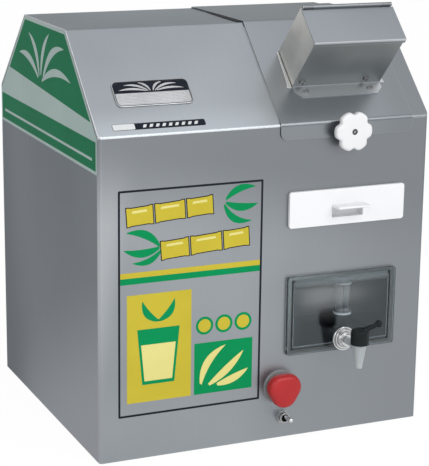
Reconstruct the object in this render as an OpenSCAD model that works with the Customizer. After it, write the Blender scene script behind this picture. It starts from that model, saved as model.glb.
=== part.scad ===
// Electric sugarcane juicer, bench model with a three-roller mill.
// X runs to the right, Y to the back, Z up; the origin is the centre of the base underside.

/* [Cabinet] */
// Cabinet width over the side panels
cabinet_w = 400; // [340:1:480]
// Cabinet depth from front panel to back panel
cabinet_d = 357; // [300:1:430]
// Height of the upright walls up to the roof bend
wall_h = 366; // [310:1:440]
// Rise of the roof slopes above the walls
roof_rise = 100.5; // [70:0.5:140]
// Depth of the flat roof top
top_d = 148.6; // [100:0.2:220]
// Thickness of the cabinet sheet
sheet_t = 1.5; // [1:0.1:3]
// Outside radius of the sheet bends
bend_r = 4; // [2.5:0.5:8]
// Outside radius of the upright corners
corner_r = 4; // [2.5:0.5:8]
// Flat segments in each sheet bend
bend_steps = 8; // [4:1:16]
// Left face of the partition between drive bay and mill bay
bulkhead_x = 13; // [0:0.5:40]
// Height of the wet floor's upper face
floor_z = 101.7; // [60:0.1:140]
// Height of the stiffening ribs on the base plate
base_rib_h = 12; // [6:1:25]
// Width of each stiffening rib
base_rib_w = 30; // [15:1:60]
// Distance of each rib from the cabinet centre
base_rib_y = 110; // [60:1:150]
// Overrun of the cuts past the faces they open
overrun = 3; // [2:0.5:5]

/* [Cover] */
// Left edge of the hinged cover
cover_x0 = 12.4; // [0:0.2:60]
// Border of the roof to the right of the hinged cover
cover_right_margin = 21.5; // [10:0.5:60]
// Thickness of the cover sheet
cover_t = 1.2; // [0.8:0.1:2]
// Gap between cover and roof
cover_gap = 0.6; // [0.4:0.1:1.5]
// Overlap of the cover on the roof at each side
cover_lap = 7.6; // [4:0.2:15]
// Drop of the front lip below the wall height
lip_drop = 17; // [10:0.5:30]
// Radius of the lower corners of the front lip
lip_corner_r = 8; // [3:0.5:12]
// Drop of the rear lip below the wall height
rear_lip_drop = 8.5; // [5:0.5:15]
// Width of each cover hinge
hinge_w = 40; // [20:1:80]
// Distance of each hinge from the cover's side edge
hinge_inset = 14; // [5:1:40]
// Outside radius of the hinge knuckles
knuckle_r = 3.2; // [2:0.1:6]
// Radius of the hinge pin
hinge_pin_r = 1.5; // [1:0.1:3]
// Thickness of the hinge leaves
leaf_t = 1.5; // [1:0.1:3]
// Height of the fixed hinge leaf
leaf_h = 20; // [10:1:40]
// Length of each outer knuckle
knuckle_l = 10; // [5:0.5:20]
// Radius of the hinge screw heads
hinge_screw_r = 2.6; // [1.5:0.1:5]
// Height of the hinge screw heads
hinge_screw_h = 1.2; // [0.6:0.1:3]

/* [Feed chute] */
// Distance of the chute from the cover's left edge
chute_left_margin = 29.6; // [20:0.2:50]
// Distance of the chute from the cover's right edge
chute_right_margin = 25.8; // [15:0.1:45]
// Distance of the chute from the roof bend, up the slope
chute_rise = 49.5; // [30:0.5:70]
// Length of the chute along the slope
chute_l = 50; // [40:0.5:70]
// Height of the chute above the roof slope
chute_h = 79.5; // [40:0.5:120]
// Depth of the chute below the roof slope
chute_depth = 22; // [5:0.5:40]
// Thickness of the chute sheet
chute_t = 1.2; // [0.8:0.1:2]
// Clearance of the chute in the cover's cut-out
chute_clear = 0.6; // [0.3:0.1:2]
// Length of the chute's foot flange down the roof slope
flange_l = 16.5; // [12:0.5:30]
// Gap between the flange's upright leg and the lid's fold
flange_leg_gap = 0.6; // [0.4:0.1:40]
// Cut of the flange's lower corners
flange_chamfer = 8; // [2:0.5:15]
// Distance of the foot flange's screws below the chute
flange_screw_drop = 9; // [5:0.5:20]
// Height of the leg's screw line above the roof slope
leg_screw_h = 11; // [6:0.5:20]
// Distance of the foot flange's screws from its ends
flange_screw_inset = 15; // [10:0.5:30]
// Shift of the leg screws to the left of the flange screws
leg_screw_shift = 6; // [0:0.5:12]
// Radius of the chute screw heads
screw_head_r = 3.2; // [2:0.1:5]
// Height of the chute screw heads
screw_head_h = 2; // [1:0.1:4]
// Width of the cross recess in the screw heads
screw_slot_w = 1; // [0.5:0.1:2]
// Depth of the cross recess in the screw heads
screw_slot_d = 1; // [0.4:0.1:2]
// Lid overhang past the left wall
lid_over_left = 1.5; // [0.5:0.1:5]
// Lid overhang past the right wall
lid_over_right = 1.7; // [1:0.1:8]
// Lid overhang past the lower wall
lid_over_front = 1.8; // [1:0.1:6]
// Drop of the folded lid edges
lid_fold = 5; // [2:0.5:10]
// Gap between lid and chute rim
lid_gap = 0.4; // [0.3:0.1:1]
// Outside radius of the lid hinge roll
roll_r = 2.3; // [1.5:0.1:4]
// Radius of the lid hinge pin
lid_pin_r = 1.2; // [0.8:0.1:2]
// Length of each fixed roll on the chute
roll_l = 14; // [6:0.5:30]

/* [Clamp knob] */
// Drop of the stud axis below the wall height
stud_drop = 9.6; // [6:0.2:14]
// Radius of the threaded stud
stud_r = 4; // [2.5:0.1:6]
// Length of the stud in front of the panel
stud_l = 18; // [10:0.5:30]
// Radius of the loose washer
washer_r = 9.2; // [6:0.1:12]
// Thickness of the loose washer
washer_t = 1.6; // [0.8:0.1:3]
// Radius of the knob's hub
knob_hub_r = 8.6; // [6:0.1:14]
// Length of the knob's hub
knob_hub_l = 6; // [2:0.5:12]
// Outside radius of the knob's grip
knob_r = 22; // [15:0.5:30]
// Thickness of the knob's grip
knob_t = 9; // [6:0.5:20]
// Depth of the grip's notches
knob_notch_d = 3.2; // [1:0.1:5]
// Radius of the grip's notches
knob_notch_r = 5; // [3:0.1:9]
// Edge chamfer of the grip
knob_chamfer = 1.6; // [0.5:0.1:4]
// Depth of the dished centre
knob_dish_d = 2.2; // [0.5:0.1:4]
// Radius of the dished centre
knob_dish_r = 8.5; // [5:0.1:14]

/* [Strainer drawer] */
// Distance of the drawer front from the partition
drawer_left_margin = 11; // [5:0.5:30]
// Distance of the drawer front from the cabinet's right side
drawer_right_margin = 30.5; // [15:0.5:60]
// Lower edge of the drawer front
drawer_z0 = 248.6; // [220:0.2:270]
// Upper edge of the drawer front
drawer_z1 = 289.8; // [275:0.2:320]
// Thickness of the drawer front
drawer_front_t = 4; // [2:0.1:8]
// Corner radius of the drawer front
drawer_corner_r = 3; // [1:0.1:8]
// Margin of the drawer front round the tub
drawer_margin = 6; // [3:0.1:12]
// Length of the drawer tub
drawer_l = 216; // [150:1:280]
// Wall thickness of the tub
drawer_wall = 2.5; // [1.5:0.1:5]
// Clearance of the tub in its opening
drawer_clear = 0.8; // [0.4:0.1:2]
// Width of the grip
grip_w = 39.5; // [25:0.5:70]
// Reach of the grip in front of the drawer
grip_l = 16; // [8:0.5:30]
// Thickness of the grip
grip_t = 3; // [2:0.1:6]
// Height of the finger pocket under the grip
pocket_h = 12.5; // [8:0.5:25]
// Depth of the finger pocket
pocket_d = 11; // [5:0.5:20]
// Height of the grip's underside above the drawer's lower edge
grip_rise = 21; // [12:0.5:30]
// Width of the ledge that carries the strainer
strainer_ledge = 5; // [3:0.5:10]
// Thickness of the strainer plate
strainer_t = 1; // [0.5:0.1:2]
// Slots along the strainer
slot_rows = 18; // [6:1:30]
// Slots across the strainer
slot_columns = 3; // [1:1:6]
// Width of each strainer slot
slot_w = 2.2; // [1:0.1:4]
// Web between neighbouring slots
slot_web = 8; // [4:0.5:15]
// Distance of the outer slots from the strainer's edges
slot_margin = 14; // [8:0.5:25]
// Thickness of the shelf under the drawer
shelf_t = 1.5; // [1:0.1:3]
// Height of the drawer guides on the shelf
guide_h = 8; // [4:0.5:15]

/* [Reservoir and tap] */
// Distance of the clear plate from the partition
plate_left_margin = 11.5; // [5:0.5:30]
// Distance of the clear plate from the cabinet's right side
plate_right_margin = 37; // [20:0.5:70]
// Lower edge of the clear front plate
plate_z0 = 99; // [80:0.5:120]
// Upper edge of the clear front plate
plate_z1 = 191.5; // [150:0.5:220]
// Thickness of the clear front plate
plate_t = 4; // [2:0.1:8]
// Gap between the clear plate and the front panel
plate_gap = 0.5; // [0.3:0.1:1.5]
// Side margin of the front plate round the box
plate_margin = 6; // [3:0.1:12]
// Upper margin of the front plate round the box
plate_top_margin = 4.5; // [2:0.1:10]
// Wall thickness of the clear box
box_wall = 3; // [1.5:0.1:5]
// Depth of the clear box behind the panel
box_l = 114; // [80:1:180]
// Clearance round the box in its opening
box_clear = 0.8; // [0.4:0.1:2]
// Height of the box above the wet floor
box_lift = 0.3; // [0.2:0.1:1]
// Depth of the drip tray at the top of the box
tray_h = 9; // [5:0.5:20]
// Thickness of the drip tray
tray_t = 1.5; // [1:0.1:3]
// Outside radius of the drop tube
tube_r = 9.5; // [5:0.5:15]
// Wall thickness of the drop tube
tube_wall = 1.5; // [0.8:0.1:3]
// Shift of the drop tube right of the plate's middle
tube_shift = 9.2; // [-25:0.2:25]
// Distance of the drop tube axis behind the box front
tube_setback = 14; // [11:0.5:60]
// Length of the drop tube below the tray
tube_l = 41; // [15:0.5:60]
// Shift of the tap right of the plate's middle
tap_shift = 3.2; // [-25:0.2:25]
// Height of the tap shank
tap_z = 112; // [105:0.2:140]
// Radius of the tap flange
tap_flange_r = 13; // [9:0.1:18]
// Thickness of the tap flange
tap_flange_t = 3; // [1:0.1:6]
// Radius of the raised ring on the flange
tap_ring_r = 9.6; // [6:0.1:14]
// Height of the raised ring on the flange
tap_ring_t = 1.6; // [0.5:0.1:4]
// Width across the flats of the tap nuts
tap_nut_w = 13.4; // [9:0.1:20]
// Thickness of the tap nuts
tap_nut_t = 5; // [3:0.1:10]
// Radius of the tap shank
tap_shank_r = 4; // [3:0.1:8]
// Distance of the spout axis in front of the clear plate
tap_reach = 38.5; // [25:0.5:60]
// Radius of the spout at its top
spout_top_r = 8.2; // [5:0.1:12]
// Radius of the spout at its tip
spout_tip_r = 3.8; // [2:0.1:8]
// Height of the spout's top above the tap shank
spout_top_rise = 4.4; // [4:0.1:10]
// Length of the spout below the tap shank
spout_drop = 23.5; // [12:0.5:40]
// Wall thickness at the spout's tip
spout_wall = 1.3; // [0.8:0.1:3]
// Radius of the plug bore in the tap body
plug_bore_r = 5; // [3:0.1:8]
// Depth of the plug bore in the tap body
plug_bore_d = 9; // [4:0.5:15]
// Clearance round the tap plug
plug_clear = 0.4; // [0.3:0.1:1]
// Gap between tap cap and tap body
cap_gap = 0.4; // [0.3:0.1:1]
// Radius of the tap cap
cap_r = 10.4; // [7:0.1:15]
// Height of the tap cap
cap_h = 17.5; // [10:0.5:30]
// Radius of the cap's domed top edge
cap_round_r = 4; // [1:0.5:6]
// Length of the tap lever from the cap axis
lever_l = 25; // [15:0.5:40]
// Rise of the tap lever
lever_angle = 18; // [0:1:40]
// Radius of the tap lever at the cap
lever_r0 = 3.6; // [2:0.1:6]
// Radius of the tap lever before its end
lever_r1 = 2.6; // [1.5:0.1:5]
// Radius of the tap lever's ball end
lever_ball_r = 4.2; // [2:0.1:7]

/* [Controls] */
// Stop button axis, from the cabinet centre
stop_x = 17.9; // [5:0.5:40]
// Height of the stop button axis
stop_z = 62.4; // [45:0.5:80]
// Radius of the stop button's backing ring
stop_ring_r = 19.5; // [15:0.1:25]
// Thickness of the stop button's backing ring
stop_ring_t = 2.4; // [1:0.1:4]
// Radius of the stop button's collar
stop_collar_r = 14.5; // [12:0.1:18]
// Length of the stop button's collar
stop_collar_l = 3.4; // [2.6:0.1:16]
// Radius of the stop button's panel bush
stop_bush_r = 11; // [8:0.1:14]
// Clearance of the bush in the panel hole
bush_clear = 0.2; // [0.1:0.05:0.6]
// Radius of the stop button's plunger
stop_stem_r = 6; // [4:0.1:9]
// Clearance round the plunger
stop_stem_clear = 0.4; // [0.3:0.1:1]
// Length of the plunger behind the head
stop_stem_l = 27; // [20:0.5:45]
// Travel gap between collar and head
stop_travel_gap = 4.6; // [3:0.1:8]
// Radius of the stop button's head
stop_head_r = 21.5; // [15:0.1:25]
// Thickness of the stop button's head
stop_head_t = 13; // [8:0.1:20]
// Radius of each flattened side of the head
stop_side_r = 31; // [22:0.5:40]
// Offset of each flattened side of the head
stop_side_shift = 12; // [5:0.5:20]
// Edge step of the head
stop_head_step = 2.5; // [1:0.1:5]
// Width of the contact block
block_w = 30; // [20:0.5:42]
// Height of the contact block
block_h = 40; // [25:0.5:50]
// Depth of the contact block
block_l = 42; // [25:0.5:60]
// Radius of the lock ring behind the panel
lock_ring_r = 15; // [12:0.1:20]
// Thickness of the lock ring behind the panel
lock_ring_t = 4; // [2:0.1:8]
// Switch axis, from the cabinet centre
switch_x = 22; // [8:0.2:40]
// Height of the switch axis
switch_z = 26; // [18:0.2:40]
// Radius of the switch bushing
switch_bush_r = 6; // [4:0.1:8]
// Length of the switch bushing in front of the panel
switch_bush_l = 9; // [5:0.1:14]
// Bore radius of the switch bushing
switch_bore_r = 4.5; // [3:0.1:6]
// Width across the flats of the switch nut
switch_nut_w = 14; // [10:0.1:18]
// Thickness of the switch nut
switch_nut_t = 3; // [2:0.1:5]
// Length of the switch lever in front of the panel
switch_lever_l = 27; // [15:0.5:40]
// Radius of the switch lever at its pivot
switch_lever_r0 = 1.9; // [1:0.1:3]
// Radius of the switch lever near its tip
switch_lever_r1 = 2.7; // [1.5:0.1:4]
// Rest tilt of the switch lever
switch_tilt = 6; // [4:0.5:15]
// Width of the switch housing
switch_body_w = 14; // [10:0.5:25]
// Height of the switch housing
switch_body_h = 26; // [15:0.5:40]
// Depth of the switch housing
switch_body_l = 22; // [12:0.5:40]

/* [Mill] */
// Teeth on each mill gear
gear_teeth = 24; // [18:1:36]
// Tooth module of the mill gears
gear_module = 2.5; // [1.5:0.1:4]
// Tooth height outside the pitch circle, as a share of the module
addendum_share = 0.9; // [0.7:0.05:1]
// Tooth depth inside the pitch circle, as a share of the module
dedendum_share = 1.25; // [1.1:0.05:1.4]
// Pressure angle of the mill gears
gear_pressure = 20; // [14:0.5:25]
// Play taken off each tooth half
gear_play = 0.5; // [0.1:0.05:1]
// Points along each tooth flank
flank_steps = 5; // [3:1:8]
// Face width of the mill gears
gear_face = 20; // [10:0.5:30]
// Gap between gears and partition
gear_gap = 4; // [2:0.5:10]
// Height of the lower rollers
lower_z = 328; // [315:0.5:345]
// Position of the top roller along the depth
mill_y = -42; // [-70:0.5:20]
// Half angle between the lower rollers, seen from the top roller
mill_half_angle = 37.5; // [30:7.5:45]
// Gap between neighbouring rollers
roller_gap = 2; // [1:0.1:6]
// Gap between the roller barrels and the cheeks
roller_end_gap = 5.5; // [4:0.5:12]
// Flutes on each roller
flute_count = 36; // [12:1:60]
// Depth of the roller flutes
flute_d = 1.4; // [0.5:0.1:3]
// Radius of the roller shafts
shaft_r = 11; // [7:0.5:15]
// Running clearance of the shafts in their bushes
shaft_clear = 0.06; // [0.02:0.01:0.1]
// Length of the shafts past the right cheek
shaft_tail = 4; // [2:0.5:15]
// Thickness of the roller cheeks
cheek_t = 11; // [6:0.5:16]
// Distance of the right cheek from the cabinet's right side
cheek_right_margin = 22.5; // [15:0.5:40]
// Front edge of the cheeks
cheek_y0 = -124; // [-150:1:-110]
// Rear edge of the cheeks
cheek_y1 = 42; // [25:1:80]
// Lower edge of the cheeks
cheek_z0 = 293; // [291:0.5:305]
// Upper edge of the cheeks
cheek_z1 = 415; // [400:1:435]
// Chamfer of the cheeks' upper corners
cheek_chamfer = 45; // [10:1:55]
// Radius of the bronze bushes
bush_r = 15.5; // [12:0.1:20]
// Radius of the bush flanges
bush_flange_r = 19; // [16:0.1:24]
// Thickness of the bush flanges
bush_flange_t = 2.5; // [1:0.1:5]
// Radius of the tie bars
tie_r = 6; // [4:0.5:10]
// Distance of the tie bars from the cheek edges
tie_inset = 11; // [8:0.5:20]
// Height of the upper front tie bar above the cheeks' lower edge
tie_rise = 52; // [40:0.5:60]
// Position of the uppermost tie bar along the depth
top_tie_y = -5; // [-10:0.5:5]
// Distance of the uppermost tie bar below the cheeks' upper edge
top_tie_drop = 17; // [14:0.5:25]
// Radius of the tie bar nuts
tie_nut_r = 9; // [6:0.5:14]
// Thickness of the tie bar nuts
tie_nut_t = 6; // [3:0.5:10]
// Half width of the turn plate at its top
turn_top_w = 11; // [6:0.1:14]
// Half width of the turn plate at its waist
turn_waist_w = 4.5; // [3:0.1:7]
// Height of the turn plate above the lower roller axes
turn_rise = 16; // [10:0.1:18]
// Depth of the turn plate below the lower roller axes
turn_drop = 15; // [5:0.1:25]
// Hollow of the turn plate's upper face
turn_hollow = 1.2; // [0:0.1:3]

/* [Juice and bagasse] */
// Distance of the juice pan inside the drawer's sides
pan_side_inset = 4; // [2:0.5:15]
// Distance of the juice pan behind the front panel
pan_front_inset = 14.5; // [6:0.5:30]
// Distance of the juice pan inside the drawer's rear end
pan_rear_inset = 3.5; // [2:0.5:30]
// Height of the pan floor at the front
pan_low_z = 205; // [196:0.5:225]
// Height of the pan floor at the rear
pan_high_z = 240; // [225:0.5:248]
// Thickness of the pan sheet
pan_t = 1.2; // [0.8:0.1:2]
// Distance of the pan nozzle behind the pan's front face
nozzle_setback = 26; // [15:0.5:60]
// Radius of the pan nozzle
nozzle_r = 9; // [5:0.5:14]
// Gap between the nozzle and the drip tray's rim
nozzle_gap = 4; // [2:0.5:10]
// Front edge of the bagasse slide
slide_y0 = 36; // [28:0.5:60]
// Height of the slide's front edge
slide_z0 = 322; // [310:0.5:340]
// Height of the slide at the back panel
slide_z1 = 262; // [240:0.5:290]
// Reach of the slide behind the back panel
slide_reach = 16; // [5:0.5:40]
// Thickness of the slide sheet
slide_t = 1.5; // [1:0.1:3]
// Height of the slide's side walls
slide_wall_h = 14; // [5:0.5:30]
// Height of the bagasse opening
outlet_h = 62; // [40:1:64]
// Margin of the bagasse opening round the slide
outlet_margin = 3; // [1:0.5:8]

/* [Drive] */
// Left face of the gear plate
gear_plate_x = -24; // [-40:0.5:-20]
// Thickness of the gear plate
gear_plate_t = 6; // [4:0.5:12]
// Chamfer of the gear plate's upper corners
gear_plate_chamfer = 30; // [10:1:50]
// Radius of the gear plate spacers
spacer_r = 5; // [4:0.5:5]
// Left face of the gearbox
gearbox_x0 = -112; // [-140:0.5:-90]
// Right face of the gearbox
gearbox_x1 = -52; // [-70:0.5:-40]
// Radius of the gearbox wheel housing
wheel_case_r = 46; // [35:0.5:60]
// Distance between roller shaft and motor axis
worm_offset = 40; // [30:0.5:60]
// Radius of the worm housing
worm_case_r = 27; // [20:0.5:36]
// Height of the worm housing's upper end
worm_top_z = 418; // [400:1:430]
// Radius of the gearbox bearing covers
gearbox_cover_r = 33; // [25:0.5:44]
// Thickness of the gearbox bearing covers
gearbox_cover_t = 5; // [2:0.5:10]
// Radius of the gearbox nose
gearbox_nose_r = 30; // [20:0.5:40]
// Radius of the motor barrel
motor_r = 47; // [35:0.5:60]
// Height of the motor's fins
fin_h = 6; // [3:0.5:12]
// Thickness of the motor's fins
fin_t = 2.5; // [1.5:0.1:5]
// Fins round the motor
fin_count = 28; // [12:1:40]
// Height of the motor's lower end
motor_z0 = 128; // [100:1:160]
// Height of the motor flange's upper face
motor_z1 = 318; // [290:1:325]
// Thickness of the motor flange
motor_flange_t = 10; // [6:0.5:15]
// Height of the fan cowl
cowl_h = 40; // [20:1:60]
// Thickness of the fan cowl sheet
cowl_t = 1.5; // [1:0.1:3]
// Slots in the fan cowl
cowl_slots = 12; // [6:1:24]
// Inner end of the cowl slots
cowl_slot_r0 = 14; // [8:0.5:25]
// Outer end of the cowl slots
cowl_slot_r1 = 44; // [30:0.5:50]
// Width of the cowl slots
cowl_slot_w = 4; // [2:0.5:8]
// Width of the terminal box
terminal_w = 60; // [40:1:90]
// Height of the terminal box
terminal_h = 70; // [40:1:100]
// Depth of the terminal box
terminal_d = 32; // [20:1:50]
// Height of the terminal box's lower edge
terminal_z = 200; // [150:1:240]

/* [Back panel] */
// Distance of the service opening from the cabinet's left side
service_left_margin = 35; // [20:1:80]
// Right edge of the service opening
service_x1 = -15; // [-60:1:0]
// Lower edge of the service opening
service_z0 = 70; // [50:1:120]
// Upper edge of the service opening
service_z1 = 320; // [240:1:340]
// Overlap of the service cover round its opening
service_lap = 12; // [8:0.5:20]
// Radius of the service screws
service_screw_r = 4; // [2:0.1:6]
// Height of the service screws
service_screw_h = 2.2; // [1:0.1:4]
// Vent slots in the service cover
vent_count = 10; // [4:1:16]
// Height of each vent slot
vent_h = 5; // [3:0.5:10]
// Spacing of the vent slots
vent_pitch = 13; // [9:0.5:20]
// Width of the vent slots
vent_w = 90; // [50:1:120]
// Height of the lowest vent slot above the opening's lower edge
vent_rise = 50; // [20:1:80]
// Cable gland axis, from the cabinet centre
gland_x = -100; // [-160:1:-40]
// Height of the cable gland axis
gland_z = 36; // [22:0.5:50]
// Radius of the gland's flange
gland_flange_r = 13; // [9:0.5:18]
// Thickness of the gland's flange
gland_flange_t = 5; // [3:0.5:10]
// Radius of the gland's dome
gland_dome_r = 10; // [7:0.5:14]
// Length of the gland's dome
gland_dome_l = 13; // [8:0.5:25]
// Bore radius of the gland
gland_bore_r = 4.5; // [3:0.1:7]
// Radius of the gland's panel thread
gland_thread_r = 8; // [6:0.5:12]
// Length of the gland behind the panel
gland_thread_l = 12; // [6:0.5:20]

/* [Badges and labels] */
// Thickness of the printed labels
label_t = 0.3; // [0.2:0.05:0.6]
// Distance of the front label from the cabinet's left side
label_left_margin = 22; // [10:0.5:60]
// Right edge of the front label
label_x1 = -7.2; // [-60:0.2:10]
// Lower edge of the front label
label_z0 = 50.4; // [30:0.2:120]
// Upper edge of the front label
label_z1 = 307; // [220:0.5:340]
// Border kept clear round the side label
side_label_inset = 4; // [2:0.5:15]
// Lower edge of the side label
side_label_z0 = 325; // [280:0.5:345]
// Distance of the badge from the cabinet's left side
badge_left_margin = 34; // [15:0.5:60]
// Right end of the badge
badge_x1 = -83; // [-110:0.5:-40]
// Distance of the badge from the roof bend, up the slope
badge_rise = 39; // [25:0.5:60]
// Height of the badge along the slope
badge_h = 31.5; // [20:0.5:50]
// Corner radius of the badge
badge_corner_r = 5; // [2:0.5:10]
// Thickness of the badge
badge_t = 1.6; // [0.8:0.1:3]
// Distance of the strip label from the cabinet's left side
strip_left_margin = 19; // [10:0.5:60]
// Right end of the strip label
strip_x1 = -74.3; // [-110:0.1:-40]
// Corner radius of the strip label
strip_corner_r = 1; // [0.5:0.1:3]
// Distance of the strip label from the roof bend, up the slope
strip_rise = 7.4; // [5:0.1:20]
// Height of the strip label along the slope
strip_h = 8.2; // [5:0.1:20]

/* [Hidden] */
$fn = 96;
half_w = cabinet_w / 2;
half_d = cabinet_d / 2;
top_half = top_d / 2;
roof_z = wall_h + roof_rise;
slope_angle = atan2(roof_rise, half_d - top_half);
wall_turn = 90 - slope_angle;
bend_front = [-half_d + bend_r, wall_h - bend_r * tan(wall_turn / 2)];
bend_top = [-top_half + bend_r * tan(slope_angle / 2), roof_z - bend_r];
tangent_z = bend_front[1];
cover_x1 = half_w - cover_right_margin;
roof_cut_x0 = cover_x0 + cover_lap;
roof_cut_x1 = cover_x1 - cover_lap;
bay_x0 = bulkhead_x + sheet_t;
bay_x1 = half_w - sheet_t;
cover_out = cover_gap + cover_t;
hinge_y = half_d + knuckle_r + cover_gap / 2;
hinge_z = wall_h - rear_lip_drop - knuckle_r - 2 * cover_gap;
hinge_starts = [cover_x0 + hinge_inset, cover_x1 - hinge_inset - hinge_w];
knuckle_gap = cover_gap / 2;
chute_x0 = cover_x0 + chute_left_margin;
chute_x1 = cover_x1 - chute_right_margin;
chute_y0 = chute_rise;
chute_y1 = chute_rise + chute_l;
stud_x = (cover_x0 + cover_x1) / 2;
stud_z = wall_h - stud_drop;
washer_y = -half_d - cover_out - cover_gap / 2;
knob_y = washer_y - washer_t;
washer_clear = shaft_clear + knuckle_gap;
drawer_front_y = -half_d - plate_gap;
drawer_x0 = bulkhead_x + drawer_left_margin;
drawer_x1 = half_w - drawer_right_margin;
tub_x0 = drawer_x0 + drawer_margin;
tub_x1 = drawer_x1 - drawer_margin;
tub_z0 = drawer_z0 + drawer_margin / 2;
tub_z1 = drawer_z1 - drawer_margin;
tub_y1 = -half_d + drawer_l;
grip_mid_x = (drawer_x0 + drawer_x1) / 2;
grip_z = drawer_z0 + grip_rise;
shelf_z = tub_z0 - box_lift;
plate_x0 = bulkhead_x + plate_left_margin;
plate_x1 = half_w - plate_right_margin;
tube_x = (plate_x0 + plate_x1) / 2 + tube_shift;
tap_x = (plate_x0 + plate_x1) / 2 + tap_shift;
box_x0 = plate_x0 + plate_margin;
box_x1 = plate_x1 - plate_margin;
box_z0 = floor_z + box_lift;
box_z1 = plate_z1 - plate_top_margin;
box_y1 = -half_d + box_l;
plate_back_y = -half_d - plate_gap;
plate_y = plate_back_y - plate_t;
tube_y = plate_back_y + tube_setback;
spout_y = plate_y - tap_reach;
cap_z = tap_z + spout_top_rise + cap_gap;
stop_head_y = -half_d - stop_collar_l - stop_travel_gap;
pitch_r = gear_module * gear_teeth / 2;
roller_r = pitch_r - roller_gap / 2;
top_roller_at = [mill_y, lower_z + 2 * pitch_r * cos(mill_half_angle)];
front_roller_at = [mill_y - 2 * pitch_r * sin(mill_half_angle), lower_z];
rear_roller_at = [mill_y + 2 * pitch_r * sin(mill_half_angle), lower_z];
gear_x1 = bulkhead_x - gear_gap;
gear_x0 = gear_x1 - gear_face;
left_cheek_x1 = bay_x0 + cheek_t;
right_cheek_x1 = half_w - cheek_right_margin;
right_cheek_x0 = right_cheek_x1 - cheek_t;
roller_x0 = left_cheek_x1 + roller_end_gap;
roller_x1 = right_cheek_x0 - roller_end_gap;
pan_x0 = tub_x0 + pan_side_inset;
pan_x1 = tub_x1 - pan_side_inset;
pan_y0 = -half_d + pan_front_inset;
pan_y1 = tub_y1 - pan_rear_inset;
shaft_x1 = right_cheek_x1 + shaft_tail;
worm_at = [(gearbox_x0 + gearbox_x1) / 2, mill_y + worm_offset];
tie_points = [
  [cheek_y0 + tie_inset, cheek_z0 + tie_inset],
  [cheek_y1 - tie_inset, cheek_z0 + tie_inset],
  [cheek_y0 + tie_inset, cheek_z0 + tie_rise],
  [top_tie_y, cheek_z1 - top_tie_drop]
];
slide_x0 = left_cheek_x1;
slide_x1 = right_cheek_x0;
slide_angle = atan2(slide_z0 - slide_z1, half_d - slide_y0);
slide_l = (half_d + slide_reach - slide_y0) / cos(slide_angle);
service_x0 = -half_w + service_left_margin;
label_x0 = -half_w + label_left_margin;
badge_x0 = -half_w + badge_left_margin;
strip_x0 = -half_w + strip_left_margin;

// Points of an arc, from one angle to another
function arc_points(centre, r, from, to) =
  [for (i = [0 : bend_steps]) let (a = from + (to - from) * i / bend_steps) centre + r * [cos(a), sin(a)]];

// Roof line at a distance outside the cabinet, from the front wall to the back wall
function roof_line(out) = let (r = bend_r + out) concat(
  arc_points(bend_front, r, 180, 180 - wall_turn),
  arc_points(bend_top, r, 180 - wall_turn, 90),
  arc_points([-bend_top[0], bend_top[1]], r, 90, wall_turn),
  arc_points([-bend_front[0], bend_front[1]], r, wall_turn, 0)
);

function reversed(list) = [for (i = [len(list) - 1 : -1 : 0]) list[i]];

// Involute roll angle at a radius
function involute(r, base_r) = sqrt(pow(r / base_r, 2) - 1) * 180 / PI - acos(base_r / r);

// Outline of one mill gear with a tooth on the first axis
function gear_points(phase) =
  let (
    base_r = pitch_r * cos(gear_pressure),
    root_r = pitch_r - gear_module * dedendum_share,
    tip_r = pitch_r + gear_module * addendum_share,
    half = 90 / gear_teeth - gear_play * 180 / PI / pitch_r / 2,
    spread = half + involute(pitch_r, base_r),
    radii = [for (i = [0 : flank_steps]) base_r + (tip_r - base_r) * i / flank_steps]
  )
  [for (k = [0 : gear_teeth - 1], s = [-1, 1], i = [-1 : flank_steps])
    let (
      j = s < 0 ? i : flank_steps - 1 - i,
      r = j < 0 ? root_r : radii[j],
      a = phase + 360 * k / gear_teeth + s * (spread - (j < 0 ? 0 : involute(r, base_r)))
    )
    r * [cos(a), sin(a)]];

// Outline of a fluted roller
function flute_points() = [for (k = [0 : flute_count - 1], q = [0 : 3])
  let (a = 360 * (k + q / 4) / flute_count, r = q == 3 ? roller_r - flute_d : roller_r) r * [cos(a), sin(a)]];

// Profile in depth and height drawn across the width
module along_x(x0, x1) {
  translate([x0, 0, 0])
    rotate([90, 0, 90])
      linear_extrude(x1 - x0)
        children();
}

// Profile in width and height drawn along the depth
module along_y(y0, y1) {
  translate([0, y1, 0])
    rotate([90, 0, 0])
      linear_extrude(y1 - y0)
        children();
}

// Profile in width and depth drawn upwards
module along_z(z0, z1) {
  translate([0, 0, z0])
    linear_extrude(z1 - z0)
      children();
}

// Box between two opposite corners
module block(a, b) {
  translate(a)
    cube(b - a);
}

// Rectangle with round corners between two opposite corners
module round_rect(a, b, r) {
  translate(a + [r, 0])
    square(b - a - [2 * r, 0]);
  translate(a + [0, r])
    square(b - a - [0, 2 * r]);
  for (x = [a[0] + r, b[0] - r], y = [a[1] + r, b[1] - r])
    translate([x, y])
      circle(r);
}

// Six-sided nut outline with flats above and below
module hexagon(w) {
  circle(r = w / 2 / cos(30), $fn = 6);
}

// Children placed on the front roof slope: across, up the slope, outwards
module on_slope() {
  translate([0, -half_d, wall_h])
    rotate([slope_angle, 0, 0])
      children();
}

module footprint(inset) {
  round_rect([inset - half_w, inset - half_d], [half_w - inset, half_d - inset], corner_r - inset);
}

module wall_ring() {
  difference() {
    footprint(0);
    footprint(sheet_t);
  }
}

// Bent sheet that follows the roof between two distances outside the cabinet
module roof_sheet(x0, x1, inner, outer) {
  along_x(x0, x1)
    polygon(concat(roof_line(outer), reversed(roof_line(inner))));
}

// End panel under the roof sheet
module end_panel_outline() {
  polygon(concat(
    [[half_d - corner_r, 0], [corner_r - half_d, 0], [corner_r - half_d, tangent_z]],
    roof_line(-sheet_t),
    [[half_d - corner_r, tangent_z]]
  ));
}

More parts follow.
